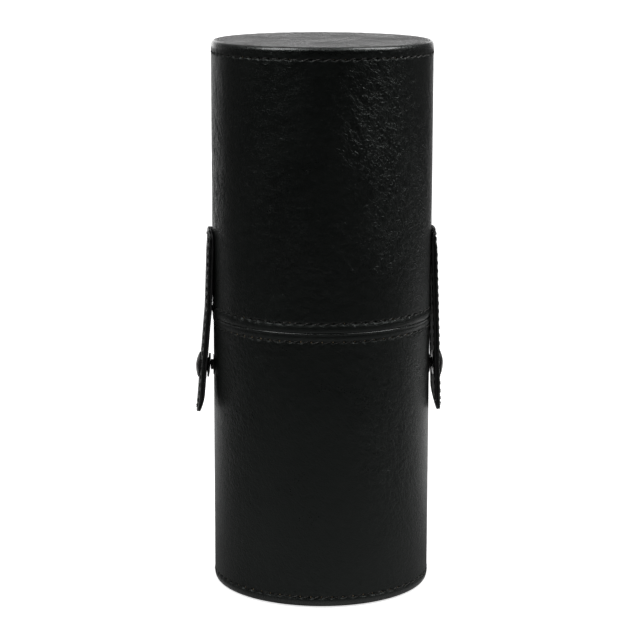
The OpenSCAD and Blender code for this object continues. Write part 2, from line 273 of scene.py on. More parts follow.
def ring_faces(rows, columns, loop_rows):
    """Quads between rows of points that each close on themselves"""
    spans = rows if loop_rows else rows - 1
    faces = []
    for i in range(spans):
        here, there = i * columns, (i + 1) % rows * columns
        for j in range(columns):
            k = (j + 1) % columns
            faces.append((here + j, here + k, there + k, there + j))
    return faces


def end_faces(rows, columns):
    """The two faces that close the first and the last row"""
    last = (rows - 1) * columns
    return [tuple(range(columns)), tuple(range(last, last + columns))]


def joined(parts):
    """One list of points and one of faces from several"""
    points, faces, start = [], [], 0
    for part_points, part_faces in parts:
        points.append(np.asarray(part_points, float))
        faces += [tuple(start + v for v in face) for face in part_faces]
        start += len(part_points)
    return np.concatenate(points), faces


def arc(centre, radius, first, last, steps):
    """Points on a round corner, from one angle to another in degrees"""
    angles = np.radians(np.linspace(first, last, steps + 1))
    return [(centre[0] + radius * math.cos(a), centre[1] + radius * math.sin(a)) for a in angles]


def spun(outline, columns, start=0.0):
    """An outline of (radius, level) turned round: its radii, its levels and the angles"""
    angles = np.arange(columns) / columns * math.tau + start
    radius, level = (np.array([p[i] for p in outline])[:, None] + 0 * angles for i in (0, 1))
    return radius, level, angles


def revolved(outline, columns):
    """Points and faces of a closed outline turned round the case's axis"""
    radius, height, angles = spun(outline, columns, -math.pi)
    points = np.stack([radius * np.sin(angles), -radius * np.cos(angles), height], 2)
    return points.reshape(-1, 3), ring_faces(len(outline), columns, True)


def round_slab(profile, columns):
    """A profile turned round: its radii and heights, its places laid flat, and its faces"""
    r, z, angles = spun(profile, columns)
    flat = np.stack([(r * np.cos(angles)).ravel(), (r * np.sin(angles)).ravel(), np.zeros(r.size)], 1)
    faces = ring_faces(len(profile), columns, False) + end_faces(len(profile), columns)
    return r, z, flat, faces


def tube(path, outward, radius, sides):
    """Closed tube along a path, one outward direction a point"""
    path = np.asarray(path, float)
    ahead = np.gradient(path, axis=0)
    ahead /= np.linalg.norm(ahead, axis=1)[:, None]
    up = outward - (outward * ahead).sum(1)[:, None] * ahead
    up /= np.linalg.norm(up, axis=1)[:, None]
    across = np.cross(ahead, up)
    turn = np.arange(sides) / sides * math.tau
    rings = path[:, None] + radius * (
        up[:, None] * np.cos(turn)[None, :, None] + across[:, None] * np.sin(turn)[None, :, None]
    )
    last = (len(path) - 1) * sides
    ends = [tuple(range(sides)), tuple(range(last + sides - 1, last - 1, -1))]
    return rings.reshape(-1, 3), ring_faces(len(path), sides, False) + ends


# ---- Leather of the two cups ----


def bow(height, low, high, rise):
    """Rise of a round swelling between two heights"""
    t = (height - low) / (high - low)
    return rise * 4 * t * (1 - t) * ((t > 0) & (t < 1))


def wall_radius(height, radius, cup_h, end_row, end_swell, cup):
    """Radius of a cup's wall at a height above its closed end"""
    rise = bow(height, cup_h - MOUTH_ROW + ROW_GROOVE_HALF, cup_h - MOUTH_ROUND[cup] / 2, MOUTH_SWELL)
    rise += bow(height, RIM_ROUND, end_row - ROW_GROOVE_HALF, end_swell)
    for row in (end_row, cup_h - MOUTH_ROW):
        rise -= ROW_GROOVE * bump_at(height - row, ROW_GROOVE_HALF)
    if cup == "lower":
        rise -= MOUTH_FOLD_DEPTH * bump_at(height - cup_h + MOUTH_FOLD_DROP, MOUTH_FOLD_HALF)
        rise += MOUTH_BEAD * bump_at(height - cup_h + MOUTH_ROUND[cup], BEAD_REACH)
    return radius + rise


def wall_heights(cup_h, end_row, mouth_round, fine_zones):
    """Heights of the wall's rows, close together at the stitches and in the zones given"""
    zones = [(row, STITCHED_HALF, STITCHED_STEP) for row in (end_row, cup_h - MOUTH_ROW)]
    zones += [(cup_h - MOUTH_FOLD_DROP, MOUTH_HALF, MOUTH_STEP), *fine_zones]
    heights, z = [], RIM_ROUND
    while z < cup_h - mouth_round - MOUTH_STEP / 2:
        heights.append(z)
        z += min([ROW_STEP, *(step for middle, half, step in zones if abs(z - middle) < half)])
    return heights + [cup_h - mouth_round]


def cup_outline(radius, cup_h, end_row, end_swell, cup, fine_zones):
    """Closed outline of a cup's leather, mouth up: (radius, height, share of wrinkling, edge)"""
    mouth_round, shine = MOUTH_ROUND[cup], MOUTH_SHINE[cup]
    board_r = radius - SKIN_T
    inner_r = radius - WALL_T + SKIN_T
    bore_r = radius - WALL_T
    lip_r = radius - LIP_W
    rows = [(lip_r, RIM_DROP + SKIN_T, 0, 0)]
    lip_edge = arc((lip_r + LIP_ROUND, LIP_ROUND), LIP_ROUND, 180, 250, 3)
    rows += [(r, RIM_DROP + z, 0, 0.5) for r, z in lip_edge]
    rise = RIM_ROUND - RIM_DROP
    for a in np.radians(np.linspace(12, 88, 12)):
        rows.append((lip_r + LIP_W * math.sin(a), RIM_ROUND - rise * math.cos(a), 0.5, 1))
    for z in wall_heights(cup_h, end_row, mouth_round, fine_zones):
        edge = max(bump_at(z - RIM_ROUND, 1.2), shine * bump_at(cup_h - mouth_round - z, 0.4))
        share = ease(0.22 + min(z, cup_h - z) / 7)
        rows.append((wall_radius(z, radius, cup_h, end_row, end_swell, cup), z, share, edge))
    last_r = rows[-1][0]
    for a in np.radians(np.linspace(0, 90, 7)[1:]):
        r = radius - mouth_round + (last_r - radius + mouth_round) * math.cos(a)
        rows.append((r, cup_h - mouth_round + mouth_round * math.sin(a), 0.05, shine))
    rows += [(radius - 1.6, cup_h - 0.03, 0.1, 0.4)]
    inner_round = 0.5
    nose = arc((bore_r + inner_round, cup_h - inner_round), inner_round, 90, 180, 4)
    rows += [(r, z, 0.1, 0.6) for r, z in nose]
    rows += [(bore_r, cup_h - d, 0.25, 0) for d in np.linspace(1.2, TURN_IN - 0.3, 9)]
    rows += [(bore_r + 0.2, cup_h - TURN_IN, 0, 0.4), (inner_r, cup_h - TURN_IN, 0, 0)]
    rows += [(inner_r, cup_h - SKIN_T, 0, 0), (board_r - 0.2, cup_h - SKIN_T, 0, 0)]
    rows += [(board_r, z, 0, 0) for z in np.linspace(cup_h - SKIN_T - 0.2, RIM_ROUND + 0.4, 6)]
    rows += [(board_r - 0.4, RIM_DROP + SKIN_T + 0.2, 0, 0)]
    return rows


def column_angles():
    """Angles of the leather's columns. The first lies in the glued seam at the back"""
    angles = np.arange(COLUMNS) * math.tau / COLUMNS - math.pi
    for step, distance in ((1, 0.2), (2, 0.62)):
        angles[step] = -math.pi + distance / UPPER_R
        angles[-step] = math.pi - distance / UPPER_R
    return angles


def wrinkle_share(along, up, patches):
    """Where the leather is wrinkled most, from 0 to 1"""
    share = 0.16 + 0.18 * ripple(np.stack([along, up, 0 * up], 1), 26, 5.3)
    for middle, height, half_w, half_h, strength in patches:
        away = np.hypot((along - middle) / half_w, (up - height) / half_h)
        share = share + strength * bump_at(away, 1)
    return np.clip(share, 0.04, 1)


def long_fold(along, up, start, end, sway, half_w):
    """How much one long fold between two points of the wall rises, from 0 to 1"""
    start, end = np.array(start, float), np.array(end, float)
    run = end - start
    length = np.hypot(*run)
    t = ((along - start[0]) * run[0] + (up - start[1]) * run[1]) / length**2
    off = ((up - start[1]) * run[0] - (along - start[0]) * run[1]) / length
    off = off - sway * np.sin(t * math.tau * 0.8)
    return bump_at(off, half_w) * ease(t * 5) * ease((1 - t) * 5)


def hide_relief(along, up, patches, folds, seed):
    """Rise of the leather's surface in mm, and the share of wrinkling, at points of a wall"""
    broad = sheet_points(along, up, CREASE_SLOPE, 1.6)
    fine = sheet_points(along, up, CREASE_SLOPE, 1.9)
    share = wrinkle_share(along, up, patches)
    sag = ripple(np.stack([along, up * 0.45, 0 * up], 1), 15, seed)
    rise = SAG_H * sag
    for start, end, sway, half_w, fold_h in folds:
        fold = long_fold(along, up, start, end, sway, half_w)
        beside = long_fold(along, up, start, end, sway, half_w * 2.4)
        rise += fold_h * (1.3 * fold - 0.3 * beside)
        share = share * (1 - 0.4 * beside)
    rise -= CREASE_DEPTH * share * creases(broad, 4.6, 0.3, seed + 1.7)
    rise -= CREASE_DEPTH * share**1.4 * creases(fine, 2.1, 0.55, seed + 4.1)
    return rise, share


def needle_holes(around, local, radius, rows, outside):
    """Rise of the wall round its stitch rows, and how deep each point lies in a hole or groove"""
    rise, pit = np.zeros_like(local), np.zeros_like(local)
    turn = (around + math.pi) / PITCH - 0.5
    off = np.abs(turn - np.round(turn)) * PITCH * radius
    for row in rows:
        away = np.hypot(off, local - row)
        rise += ROW_PUCKER_H * bump_at(local - row, ROW_PUCKER_REACH)
        rise -= HOLE_DEPTH * bump_at(away, HOLE_R + 0.2) + HOLE_DIP * bump_at(away, HOLE_DIP_REACH)
        # pit marks the holes and, more faintly, the groove; the leather paints it as shade
        pit = np.maximum(pit, bump_at(away, HOLE_R + 0.35))
        pit = np.maximum(pit, 0.35 * bump_at(local - row, ROW_GROOVE_HALF + 0.3))
    return rise * outside, pit * outside


def glue_back_seam(ring, local, pit, outside):
    """Sinks the glued seam up the back, where the first column lies"""
    for step, depth in enumerate(SEAM_DEPTHS):
        for column in {step, -step}:
            on_wall = (local[:, column] > RIM_ROUND * 0.6) & outside[:, column]
            ring[:, column] -= depth * on_wall
            pit[:, column] = np.maximum(pit[:, column], on_wall * (step == 0))


def press_studs(across, depth, height, pit, outside):
    """Presses the studs' bases into the lower wall"""
    away = np.hypot(depth, height - SNAP_Z)
    seat = LOWER_R - STUD_SEAT - 0.03
    for side in SIDES.values():
        pressed = (1 - ease((away - STUD_BASE_R - 0.1) / 0.9)) * outside * (across * side > 0)
        sunk = np.minimum(np.abs(across), seat)
        moved = side * (np.abs(across) * (1 - pressed) + sunk * pressed)
        across = np.where(pressed > 0, moved, across)
    # The ring round each stud's base is marked as a pit too, painted as shade in that recess
    pit = np.maximum(pit, 0.6 * bump_at(away - STUD_BASE_R - 0.2, 0.5) * outside)
    return across, pit


def cup_leather(name, radius, cup_h, end_row, end_swell, upside, patches, folds, finish):
    """The leather of one cup: wrapped round the board, turned in at both ends, stitched"""
    zones = [CREASED] if upside else [(SNAP_Z, SNAP_HALF, SNAP_STEP)]
    cup = "upper" if upside else "lower"
    rows = np.array(cup_outline(radius, cup_h, end_row, end_swell, cup, zones))
    angles = column_angles()
    ring = np.repeat(rows[:, 0, None], COLUMNS, 1)
    local = np.repeat(rows[:, 1, None], COLUMNS, 1)
    around = np.repeat(angles[None], len(rows), 0)
    height = CASE_H - local if upside else local
    shares = rows[:, 2, None]
    edge = np.repeat(rows[:, 3, None], COLUMNS, 1)

    along, up = (around * radius).ravel(), height.ravel()
    rise, wrinkled = hide_relief(along, up, patches, folds, 3.1 if upside else 47.9)
    ring = ring + shares * rise.reshape(ring.shape)

    outside = (ring > radius - 0.9) & (local > RIM_ROUND / 2)
    rise, pit = needle_holes(around, local, radius, (end_row, cup_h - MOUTH_ROW), outside)
    ring = ring + rise
    glue_back_seam(ring, local, pit, outside)
    across = ring * np.sin(around)
    depth = -ring * np.cos(around)
    if not upside:
        across, pit = press_studs(across, depth, height, pit, outside)

    points = np.stack([across, depth, height], 2).reshape(-1, 3)
    marks = {
        "edge": edge.ravel(),
        "pit": pit.ravel(),
        "wrinkled": wrinkled * np.repeat(shares, COLUMNS, 1).ravel(),
    }
    return make_piece(name, points, ring_faces(len(rows), COLUMNS, True), finish, marks)


def cover_disc(name, radius, face_z, up_sign, seed, finish):
    """The leather disc on an end face, with its edge rounded and a faint dip of its own"""
    disc_r = radius - LIP_W - COVER_GAP
    columns, rounding = 240, 0.25
    rings = [*np.linspace(1.5, disc_r - 1.2, 44), disc_r - 0.8, disc_r - 0.5]
    profile = [(r, 0.0) for r in rings]
    profile += [(x, z - rounding) for x, z in arc((disc_r - rounding, 0), rounding, 90, 0, 4)]
    profile += [(disc_r, -SKIN_T + 0.05), (disc_r - 0.4, -SKIN_T), (1.5, -SKIN_T)]
    r, z, flat, faces = round_slab(profile, columns)
    outer = (z > -rounding).ravel() * 1.0
    fine = creases(flat * [1, 0.7, 1], 2.4, 0.5, seed)
    rise = 0.04 * ripple(flat, 14, seed) + 0.05 * ripple(flat, 4.5, seed + 4) - 0.05 * fine - 0.05
    rise += 0.035 * ripple(flat * [1, 0.6, 1], 2.3, seed + 8)
    z = z + (rise * outer).reshape(z.shape)
    edge = (bump_at(disc_r - r, 0.9) * outer.reshape(z.shape)).ravel()
    flat[:, 2] = face_z + up_sign * z.ravel()
    marks = {"edge": edge, "pit": 0 * edge, "wrinkled": 0.25 + 0 * edge}
    return make_piece(name, flat, faces, finish, marks)


# ---- Thread ----


def stitch(start, end, outward, slant_way, dip, crown, slant):
    """Two twisted plies of thread from one needle hole to the next"""
    start, end, outward = np.array(start), np.array(end), np.array(outward)
    slant_way = np.array(slant_way)
    t = np.linspace(0, 1, 13)
    lift = -dip + (dip + crown) * np.sin(math.pi * t)
    lean = slant * np.sin(math.pi * (t - 0.5))
    middle = start + t[:, None] * (end - start) + lift[:, None] * outward + lean[:, None] * slant_way
    outs = np.repeat(outward[None], len(t), 0)
    parts = []
    for phase in (0, math.pi):
        turn = phase + t * math.tau * 1.5
        swing = 0.62 * THREAD_R * (np.cos(turn)[:, None] * outward + np.sin(turn)[:, None] * slant_way)
        parts.append(tube(middle + swing, outs, THREAD_R, 6))
    return joined(parts)


def stitch_row(name, radius, height, dip, crown, finish, seed):
    """A round of stitches in its groove"""
    parts = []
    for k in range(STITCHES):
        first, last = -math.pi + (k + 0.5) * PITCH, -math.pi + (k + 1.5) * PITCH
        middle = (first + last) / 2
        place = [(radius * math.sin(a), -radius * math.cos(a), height) for a in (first, last)]
        outward = (math.sin(middle), -math.cos(middle), 0)
        wander = noise.noise((k * 0.7, seed, 0.5))
        parts.append(
            stitch(*place, outward, (0, 0, 1), dip, crown + 0.06 * wander, SLANT * (1 + 0.4 * wander))
        )
    points, faces = joined(parts)
    return make_piece(name, points, faces, finish)


# ---- Straps ----


def turned(x, z, angle):
    """A point turned outwards at the bottom by an angle"""
    return x * math.cos(angle) - z * math.sin(angle), x * math.sin(angle) + z * math.cos(angle)


def tail_point(side, x, across, z):
    """A point of a tail's own upright frame, placed in the case"""
    moved_x, moved_z = turned(x - STRAP_R, z - FOLD_Z, TILT[side])
    return np.stack([SIDES[side] * (PIVOT_X + moved_x), across + 0 * moved_x, PIVOT_Z + moved_z], -1)


def strap_point(side, across, z, depth):
    """A point of a strap, across its width, at a height and at a depth out from its back"""
    thin = ease((z - STRAP_TOP + SKIVE_LEN) / SKIVE_LEN)
    depth = depth * (1 - SKIVE[side] * thin) + CURL[side] * thin**2
    end_thin = ease((FOLD_Z - TAIL_LEN + STRAP_W / 2 - z) / (STRAP_W / 2))
    depth = STRAP_T - (STRAP_T - depth) * (1 - TIP_SKIVE * end_thin)
    round_r = UPPER_R + depth
    hollow = round_r - np.sqrt(round_r**2 - across**2)
    x = round_r - hollow * (1 - FLATTENING * ease((FOLD_Z + 9 - z) / 22))
    sewn_x, sewn_z = turned(x - UPPER_R, z - STRAP_TOP, LEAN)
    sewn = np.stack([SIDES[side] * (UPPER_R + sewn_x), across, STRAP_TOP + sewn_z], -1)
    tail = tail_point(side, x, across, z)
    share = ease((FOLD_Z + BEND_REACH - z) / (2 * BEND_REACH))[..., None]
    return sewn * (1 - share) + tail * share


def strap_outline(inset):
    """Outline of a strap as (across, height) points, the same number for each inset"""
    corner = max(CORNER_R - inset, 0.4)
    half_w = STRAP_W / 2 - inset
    top = STRAP_TOP - inset
    tip_r = STRAP_W / 2
    tip_z = FOLD_Z - TAIL_LEN + tip_r
    half = [(x, top) for x in np.linspace(0, half_w - corner, 10)[:-1]]
    half += arc((half_w - corner, top - corner), corner, 90, 0, 8)[:-1]
    half += [(half_w, z) for z in np.linspace(top - corner, tip_z, 116)[:-1]]
    half += arc((0, tip_z), half_w, 0, -90, 28)
    back = [(-x, z) for x, z in half[-2:0:-1]]
    return np.array(half + back)


def around_snap(across, z):
    """Distance of a point of the strap from the snap's axis"""
    return np.hypot(across, z - (FOLD_Z - SNAP_DROP))


def front_depth(across, z, inset):
    """Depth of the strap's front: groove along the stitches, soft pad between, seat of the cap"""
    away = around_snap(across, z)
    depth = STRAP_T - STRAP_GROOVE * bump_at(inset - STITCH_INSET, 0.5)
    depth = depth + STRAP_SWELL * ease((inset - STITCH_INSET - 0.3) / 2.2)
    depth = depth + CAP_RING_H * bump_at(away - CAP_R - CAP_RING_HALF, CAP_RING_HALF)
    seat = 1 - ease((away - CAP_R - 0.05) / 0.6)
    return depth * (1 - seat) + (STRAP_T - CAP_SEAT - 0.04) * seat


def back_depth(across, z, inset):
    """Depth of the strap's back: groove along the stitches and seat of the socket's hub"""
    away = around_snap(across, z)
    depth = STRAP_GROOVE * 0.6 * bump_at(inset - STITCH_INSET, 0.5)
    seat = 1 - ease((away - HUB_R - 0.05) / 0.7)
    return depth * (1 - seat) + (SOCKET_SEAT + 0.04) * seat


def edge_drop(inset):
    """How far a strap's rounded edge lies below its face, at a distance in from the outline"""
    gap = max(0, STRAP_EDGE_ROUND - inset)
    return STRAP_EDGE_ROUND - math.sqrt(max(0, STRAP_EDGE_ROUND**2 - gap**2))


def strap_ply(name, side, front, seed, finish):
    """One leather of a strap, a closed slab with rounded edges"""
    insets = [0.12, 0.35, 0.7, 1.05, 1.3, 1.55, 1.8, 2.05, 2.3, 2.6, 3.1, 3.6, 4.1, 4.6]
    insets += [5.1, 5.6, 6.1, 6.6, 7.1, 7.6, 8.1, 8.6]
    middle = PLY_T + (0.015 if front else -0.015)
    far, near = (STRAP_T, middle) if front else (0, middle)
    way = 1 if front else -1
    rows = [(i, "face") for i in reversed(insets)]
    rows += [(0, far - way * STRAP_EDGE_ROUND), (0, (far + near) / 2), (0, near + way * 0.15)]
    rows += [(0.15, near), (0.8, near), (3, near), (8.6, near)]
    points, edge, pit, wrinkled = [], [], [], []
    for inset, depth in rows:
        line = strap_outline(inset)
        across, z = line[:, 0], line[:, 1]
        if depth == "face":
            level = front_depth(across, z, inset) if front else back_depth(across, z, inset)
            grain = ripple(np.stack([across, z, 0 * z + way * 9], 1), 2.6, seed) * 0.03
            level = level - way * edge_drop(inset) + grain - way * 0.02
            deep = around_snap(across, z) - (CAP_R if front else HUB_R)
            # The stitch groove and the ring round the cap or hub are marked as a pit, painted as shade
            grooved = 0.5 * bump_at(inset - STITCH_INSET, 0.5)
            pit.append(np.maximum(grooved, 0.7 * bump_at(deep - 0.3, 0.6)) + 0 * z)
            wrinkled.append(0.3 + 0.3 * ripple(np.stack([across, z, 0 * z], 1), 11, seed + 3))
            edge.append(0 * z + bump_at(inset, 0.7))
        else:
            level = depth + 0 * z
            pit.append(0 * z + (0.8 if depth == near + way * 0.15 else 0))
            wrinkled.append(0 * z)
            edge.append(0 * z + 1)
            if inset == 0:
                rough = 0.05 * ripple(np.stack([across, z, level], 1), 1.4, seed + 7)
                across = across * (1 + rough / 9)
        points.append(strap_point(side, across, z, level))
    count = len(points[0])
    faces = ring_faces(len(rows), count, False)
    for start in (0, (len(rows) - 1) * count):
        for i in range(count // 2):
            face = [start + k for k in (i, i + 1, (count - i - 1) % count, (count - i) % count)]
            faces.append(tuple(dict.fromkeys(face)))
    marks = {
        "edge": np.concatenate(edge),
        "pit": np.concatenate(pit),
        "wrinkled": np.clip(np.concatenate(wrinkled), 0, 1),
    }
    return make_piece(name, np.concatenate(points), faces, finish, marks)


def strap_stitches(name, side, front, finish):
    """Stitches along the edge of a strap, on one of its faces"""
    line = strap_outline(STITCH_INSET)
    closed = np.vstack([line, line[:1]])
    run = np.concatenate([[0], np.cumsum(np.hypot(*np.diff(closed, axis=0).T))])
    count = int(round(run[-1] / STRAP_PITCH))
    stops = np.linspace(0, run[-1], count + 1)
    across = np.interp(stops, run, closed[:, 0])
    z = np.interp(stops, run, closed[:, 1])
    face = front_depth if front else back_depth
    level = face(across, z, STITCH_INSET)
    places = strap_point(side, across, z, level)
    higher = strap_point(side, across, z, level + (0.5 if front else -0.5))
    parts = []
    for k in range(count):
        outward = (higher[k] - places[k] + higher[k + 1] - places[k + 1])
        outward = outward / np.linalg.norm(outward)
        ahead = places[k + 1] - places[k]
        sideways = np.cross(outward, ahead / np.linalg.norm(ahead))
        crown = 0.3 if front else 0.18
        parts.append(stitch(places[k], places[k + 1], outward, sideways, 0.3, crown, 0.08))
    points, faces = joined(parts)
    return make_piece(name, points, faces, finish)


# ---- Snaps ----


def lathed(outline, columns, closed):
    """Points as (out, across, up) and faces of an outline of (radius, distance out)"""
    radius, out, angles = spun(outline, columns)
    points = np.stack([out, radius * np.sin(angles), radius * np.cos(angles)], 2).reshape(-1, 3)
    faces = ring_faces(len(outline), columns, closed)
    return points, faces if closed else faces + end_faces(len(outline), columns)


def on_tail(side, points, from_x):
    """Lathed points placed on the snap's axis of a tail"""
    return tail_point(side, from_x + points[:, 0], points[:, 1], FOLD_Z - SNAP_DROP + points[:, 2])


def on_wall(side, points, from_x):
    """Lathed points placed on the snap's axis of the lower cup"""
    x = SIDES[side] * (from_x + points[:, 0])
    return np.stack([x, points[:, 1], SNAP_Z + points[:, 2]], 1)


def cap_outline():
    """Domed cap with a rolled edge, and the barrel that is set through the strap"""
    dome_h = CAP_H - CAP_EDGE
    dome_r = (CAP_R**2 + dome_h**2) / (2 * dome_h)
    top = CAP_SEAT + CAP_H
    brim_r = 4.45
    outline = []
    for r in np.linspace(0.15, brim_r, 18):
        outline.append((r, top - dome_r + math.sqrt(dome_r**2 - r * r)))
    groove_out = outline[-1][1] - 0.1
    outline += [(brim_r + 0.1, groove_out), (brim_r + 0.17, groove_out - 0.02)]
    outline += arc((CAP_R - 0.22, CAP_SEAT + 0.34), 0.22, 110, -20, 7)
    outline += [(CAP_R - 0.03, CAP_SEAT), (CAP_R - 0.3, 0.03), (CAP_R - 0.6, 0.0), (BARREL_R, 0)]
    barrel_l = STRAP_T - CAP_SEAT - SOCKET_SEAT + SOCKET_BACK
    end = -barrel_l - BARREL_ROLL_T
    outline += [(BARREL_R, -barrel_l), (BARREL_ROLL_R, -barrel_l - 0.06)]
    outline += [(BARREL_ROLL_R, end + 0.06), (BARREL_ROLL_R - 0.1, end)]
    outline += [(0.9, end), (0.7, -barrel_l - 0.05), (0.15, -barrel_l)]
    return outline


def socket_reach(side):
    """Distance between a socket's mouth and the strap's back, along the snap's axis"""
    mouth_x = LOWER_R + SNAP_REACH
    return (PIVOT_X + SNAP_DROP * math.sin(TILT[side]) - mouth_x) / math.cos(TILT[side]) - STRAP_T


def socket_outline(side):
    """Socket with a wide flange, a hub, and a mouth with the spring's groove behind it"""
    back = socket_reach(side) + SOCKET_SEAT
    depth = back - SOCKET_BACK
    rounding = 0.18
    outline = arc((MOUTH_R + 0.12, 0.12), 0.12, 180, 270, 3)
    outline += [(MOUTH_R + 0.7, 0.0), (SOCKET_R - 0.9, 0.06), (SOCKET_R - 0.7, 0.12)]
    outline += arc((SOCKET_R - rounding, 0.12 + rounding), rounding, -90, 0, 4)
    shoulder = min(SHOULDER, back - 0.12)
    flange = min(FLANGE_STOUT, back - SOCKET_SEAT - 0.1)
    outline += arc((SOCKET_R - rounding, flange - rounding), rounding, 0, 90, 4)
    outline += [(HUB_R + 0.1, flange), (HUB_R, flange + 0.03)]
    outline += [(HUB_R, shoulder - 0.08), (HUB_R - 0.1, shoulder), (NECK_R, shoulder + 0.04)]
    outline += [(NECK_R, back - 0.04), (NECK_R - 0.06, back), (BARREL_R + FIT, back)]
    outline += [(BARREL_R + FIT, depth), (NECK_BORE_R, depth), (NECK_BORE_R, shoulder - 0.25)]
    outline += [(SPRING_R, shoulder - 0.28), (SPRING_R, FLANGE_T / 2), (MOUTH_R, FLANGE_T / 2 - 0.05)]
    return outline


def stud_outline():
    """Stud with a flat base, a waist, a rounded head and a bore for the rivet's post"""
    tip = LOWER_R + SNAP_REACH - SNAP_CLEAR - (LOWER_R - STUD_SEAT)
    head = (tip - STUD_BASE_T) / 2
    bore_r = POST_R + FIT
    outline = [(bore_r, 0), (STUD_BASE_R - 0.12, 0), (STUD_BASE_R, 0.12)]
    outline += arc((STUD_BASE_R - 0.2, STUD_BASE_T - 0.2), 0.2, 0, 90, 4)
    outline += [(STUD_WAIST_R + 0.35, STUD_BASE_T - 0.02), (STUD_WAIST_R + 0.08, STUD_BASE_T + 0.06)]
    outline += [(STUD_WAIST_R, tip - head)]
    outline += arc((STUD_R - head / 3, tip - head * 2 / 3), head / 3, -80, 0, 4)
    outline += arc((STUD_R - head / 3, tip - head / 3), head / 3, 0, 90, 4)
    crown_r = STUD_R - head / 3
    for a in np.radians([12, 30, 50, 68]):
        outline.append((crown_r * math.cos(a), tip + STUD_CROWN * math.sin(a)))
    outline += [(0.15, tip + STUD_CROWN)]
    outline += [(0.15, STUD_BASE_T + FIT + 0.02), (bore_r, STUD_BASE_T + FIT)]
    return outline


def spring_ring(side):
    """Wire ring that lies in a socket's groove and grips the stud"""
    wire = 0.2
    angles = np.linspace(math.radians(20), math.radians(340), 60)
    ring_r = SPRING_R - wire - 0.02
    out = FLANGE_T / 2 + wire + 0.06
    path = np.stack([0 * angles + out, ring_r * np.sin(angles), ring_r * np.cos(angles)], 1)
    outward = np.stack([0 * angles, np.sin(angles), np.cos(angles)], 1)
    points, faces = tube(path, outward, wire, 8)
    return on_tail(side, points, UPPER_R - socket_reach(side)), faces


# ---- Cloth inside ----

PAD_CROWN = 0.35
PAD_PUCKERS = 46
PAD_PUCKER_H = 0.09


def cloth_tube(name, outline, columns, seed, finish):
    """A cloth glued round a tube: its weave makes it a little uneven, and its ends meet at the back"""
    points, faces = revolved(outline, columns)
    around = np.arctan2(points[:, 0], -points[:, 1])
    out = np.hypot(points[:, 0], points[:, 1])
    flat = np.stack([around * out, points[:, 2], out], 1)
    rise = 0.03 * ripple(flat, 7, seed) + 0.02 * ripple(flat, 2.2, seed + 5)
    middle = (min(out) + max(out)) / 2
    inward = np.where(out < middle, 1, -1)
    seam = 0.12 * bump_at((math.pi - np.abs(around)) * out, 1.1)
    scale = 1 + inward * (np.abs(rise) + seam) / out
    points[:, :2] *= scale[:, None]
    marks = {"pit": bump_at((math.pi - np.abs(around)) * out, 0.9)}
    return make_piece(name, points, faces, finish, marks)


def lining_outline(outer_r, inner_r, low, high):
    """Outline of a lining, with its wall in rows close enough to be uneven"""
    rows = [(inner_r, z) for z in np.linspace(low, high - 0.15, 60)]
    rows += [(inner_r + 0.2, high), (outer_r - 0.1, high), (outer_r - 0.02, high - 0.1)]
    rows += [(outer_r - 0.02, z) for z in np.linspace(high - 2, low + 0.1, 6)]
    return rows + [(outer_r - 0.1, low)]


def neck_outline(node, board):
    """Cloth of the neck: up the outside, over the top edge and down the inside"""
    low, high = node_span(node)
    outer_r, board_r = high[0], node_span(board)[1][0]
    cloth = outer_r - board_r
    bore_r = ring_bore(node)
    wall = outer_r - bore_r
    top, bottom = high[2], low[2]
    rounding = wall / 3
    rows = [(outer_r - 0.02, z) for z in np.linspace(bottom + 0.2, top - rounding, 48)]
    rows += arc((outer_r - rounding - 0.02, top - rounding), rounding, 10, 90, 6)
    rows += arc((bore_r + rounding, top - rounding), rounding, 90, 180, 6)
    rows += [(bore_r + 0.02, z) for z in np.linspace(top - rounding - 1, bottom + 0.2, 48)]
    rows += [(bore_r + 0.1, bottom), (bore_r + cloth, bottom)]
    rows += [(bore_r + cloth, z) for z in np.linspace(bottom + 2, top - cloth, 5)]
    rows += [(board_r, z) for z in np.linspace(top - cloth, bottom + 2, 5)]
    return rows + [(board_r, bottom), (outer_r - 0.1, bottom)]


def ring_bore(node):
    """Radius of the hole through a packed ring"""
    points = np.array([v.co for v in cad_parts[node].data.vertices]) / MM
    return float(np.hypot(points[:, 0], points[:, 1]).min())


def end_pad(name, node, up_sign, seed, finish):
    """Soft disc on the floor of a cup: crowned, drawn in at its edge, with small puckers"""
    low, high = node_span(node)
    radius = high[0]
    floor_z, face_z = (low[2], high[2]) if up_sign > 0 else (high[2], low[2])
    thick = abs(face_z - floor_z)
    columns = 192
    angles = np.arange(columns) / columns * math.tau
    profile = [(r, thick) for r in np.linspace(1.2, radius - 3, 34)]
    for a in np.radians(np.linspace(10, 90, 10)):
        profile.append((radius - 3 + 3 * math.sin(a), thick * (0.45 + 0.55 * math.cos(a))))
    profile += [(radius - 0.1, thick * 0.2), (radius - 0.5, 0), (1.2, 0)]
    r, z, flat, faces = round_slab(profile, columns)
    on_top = (z > thick * 0.3) * 1.0
    crown = PAD_CROWN * (1 - (r / radius) ** 2)
    uneven = 0.06 * ripple(flat, 9, seed).reshape(r.shape)
    wander = 2 * ripple(flat, 12, seed + 2).reshape(r.shape)
    pucker = PAD_PUCKER_H * np.sin(angles * PAD_PUCKERS + wander) * bump_at(radius - 2 - r, 3)
    z = z + on_top * (crown - 0.36 + uneven * 0.5 - np.abs(pucker) - 0.03)
    flat[:, 2] = floor_z + up_sign * z.ravel()
    return make_piece(name, flat, faces, finish, {"pit": 0 * flat[:, 0]})


# ---- Tools for materials ----


def fill_inputs(tree, made, inputs):
    """A node with its inputs set to values or linked to sockets"""
    for key, value in inputs.items():
        if isinstance(value, bpy.types.NodeSocket):
            tree.links.new(value, made.inputs[key])
        else:
            made.inputs[key].default_value = value
    return made


def add(tree, kind, inputs=None, **settings):
    """A shader node with its settings and its inputs"""
    made = tree.nodes.new("ShaderNode" + kind)
    for name, value in settings.items():
        setattr(made, name, value)
    return fill_inputs(tree, made, inputs or {})


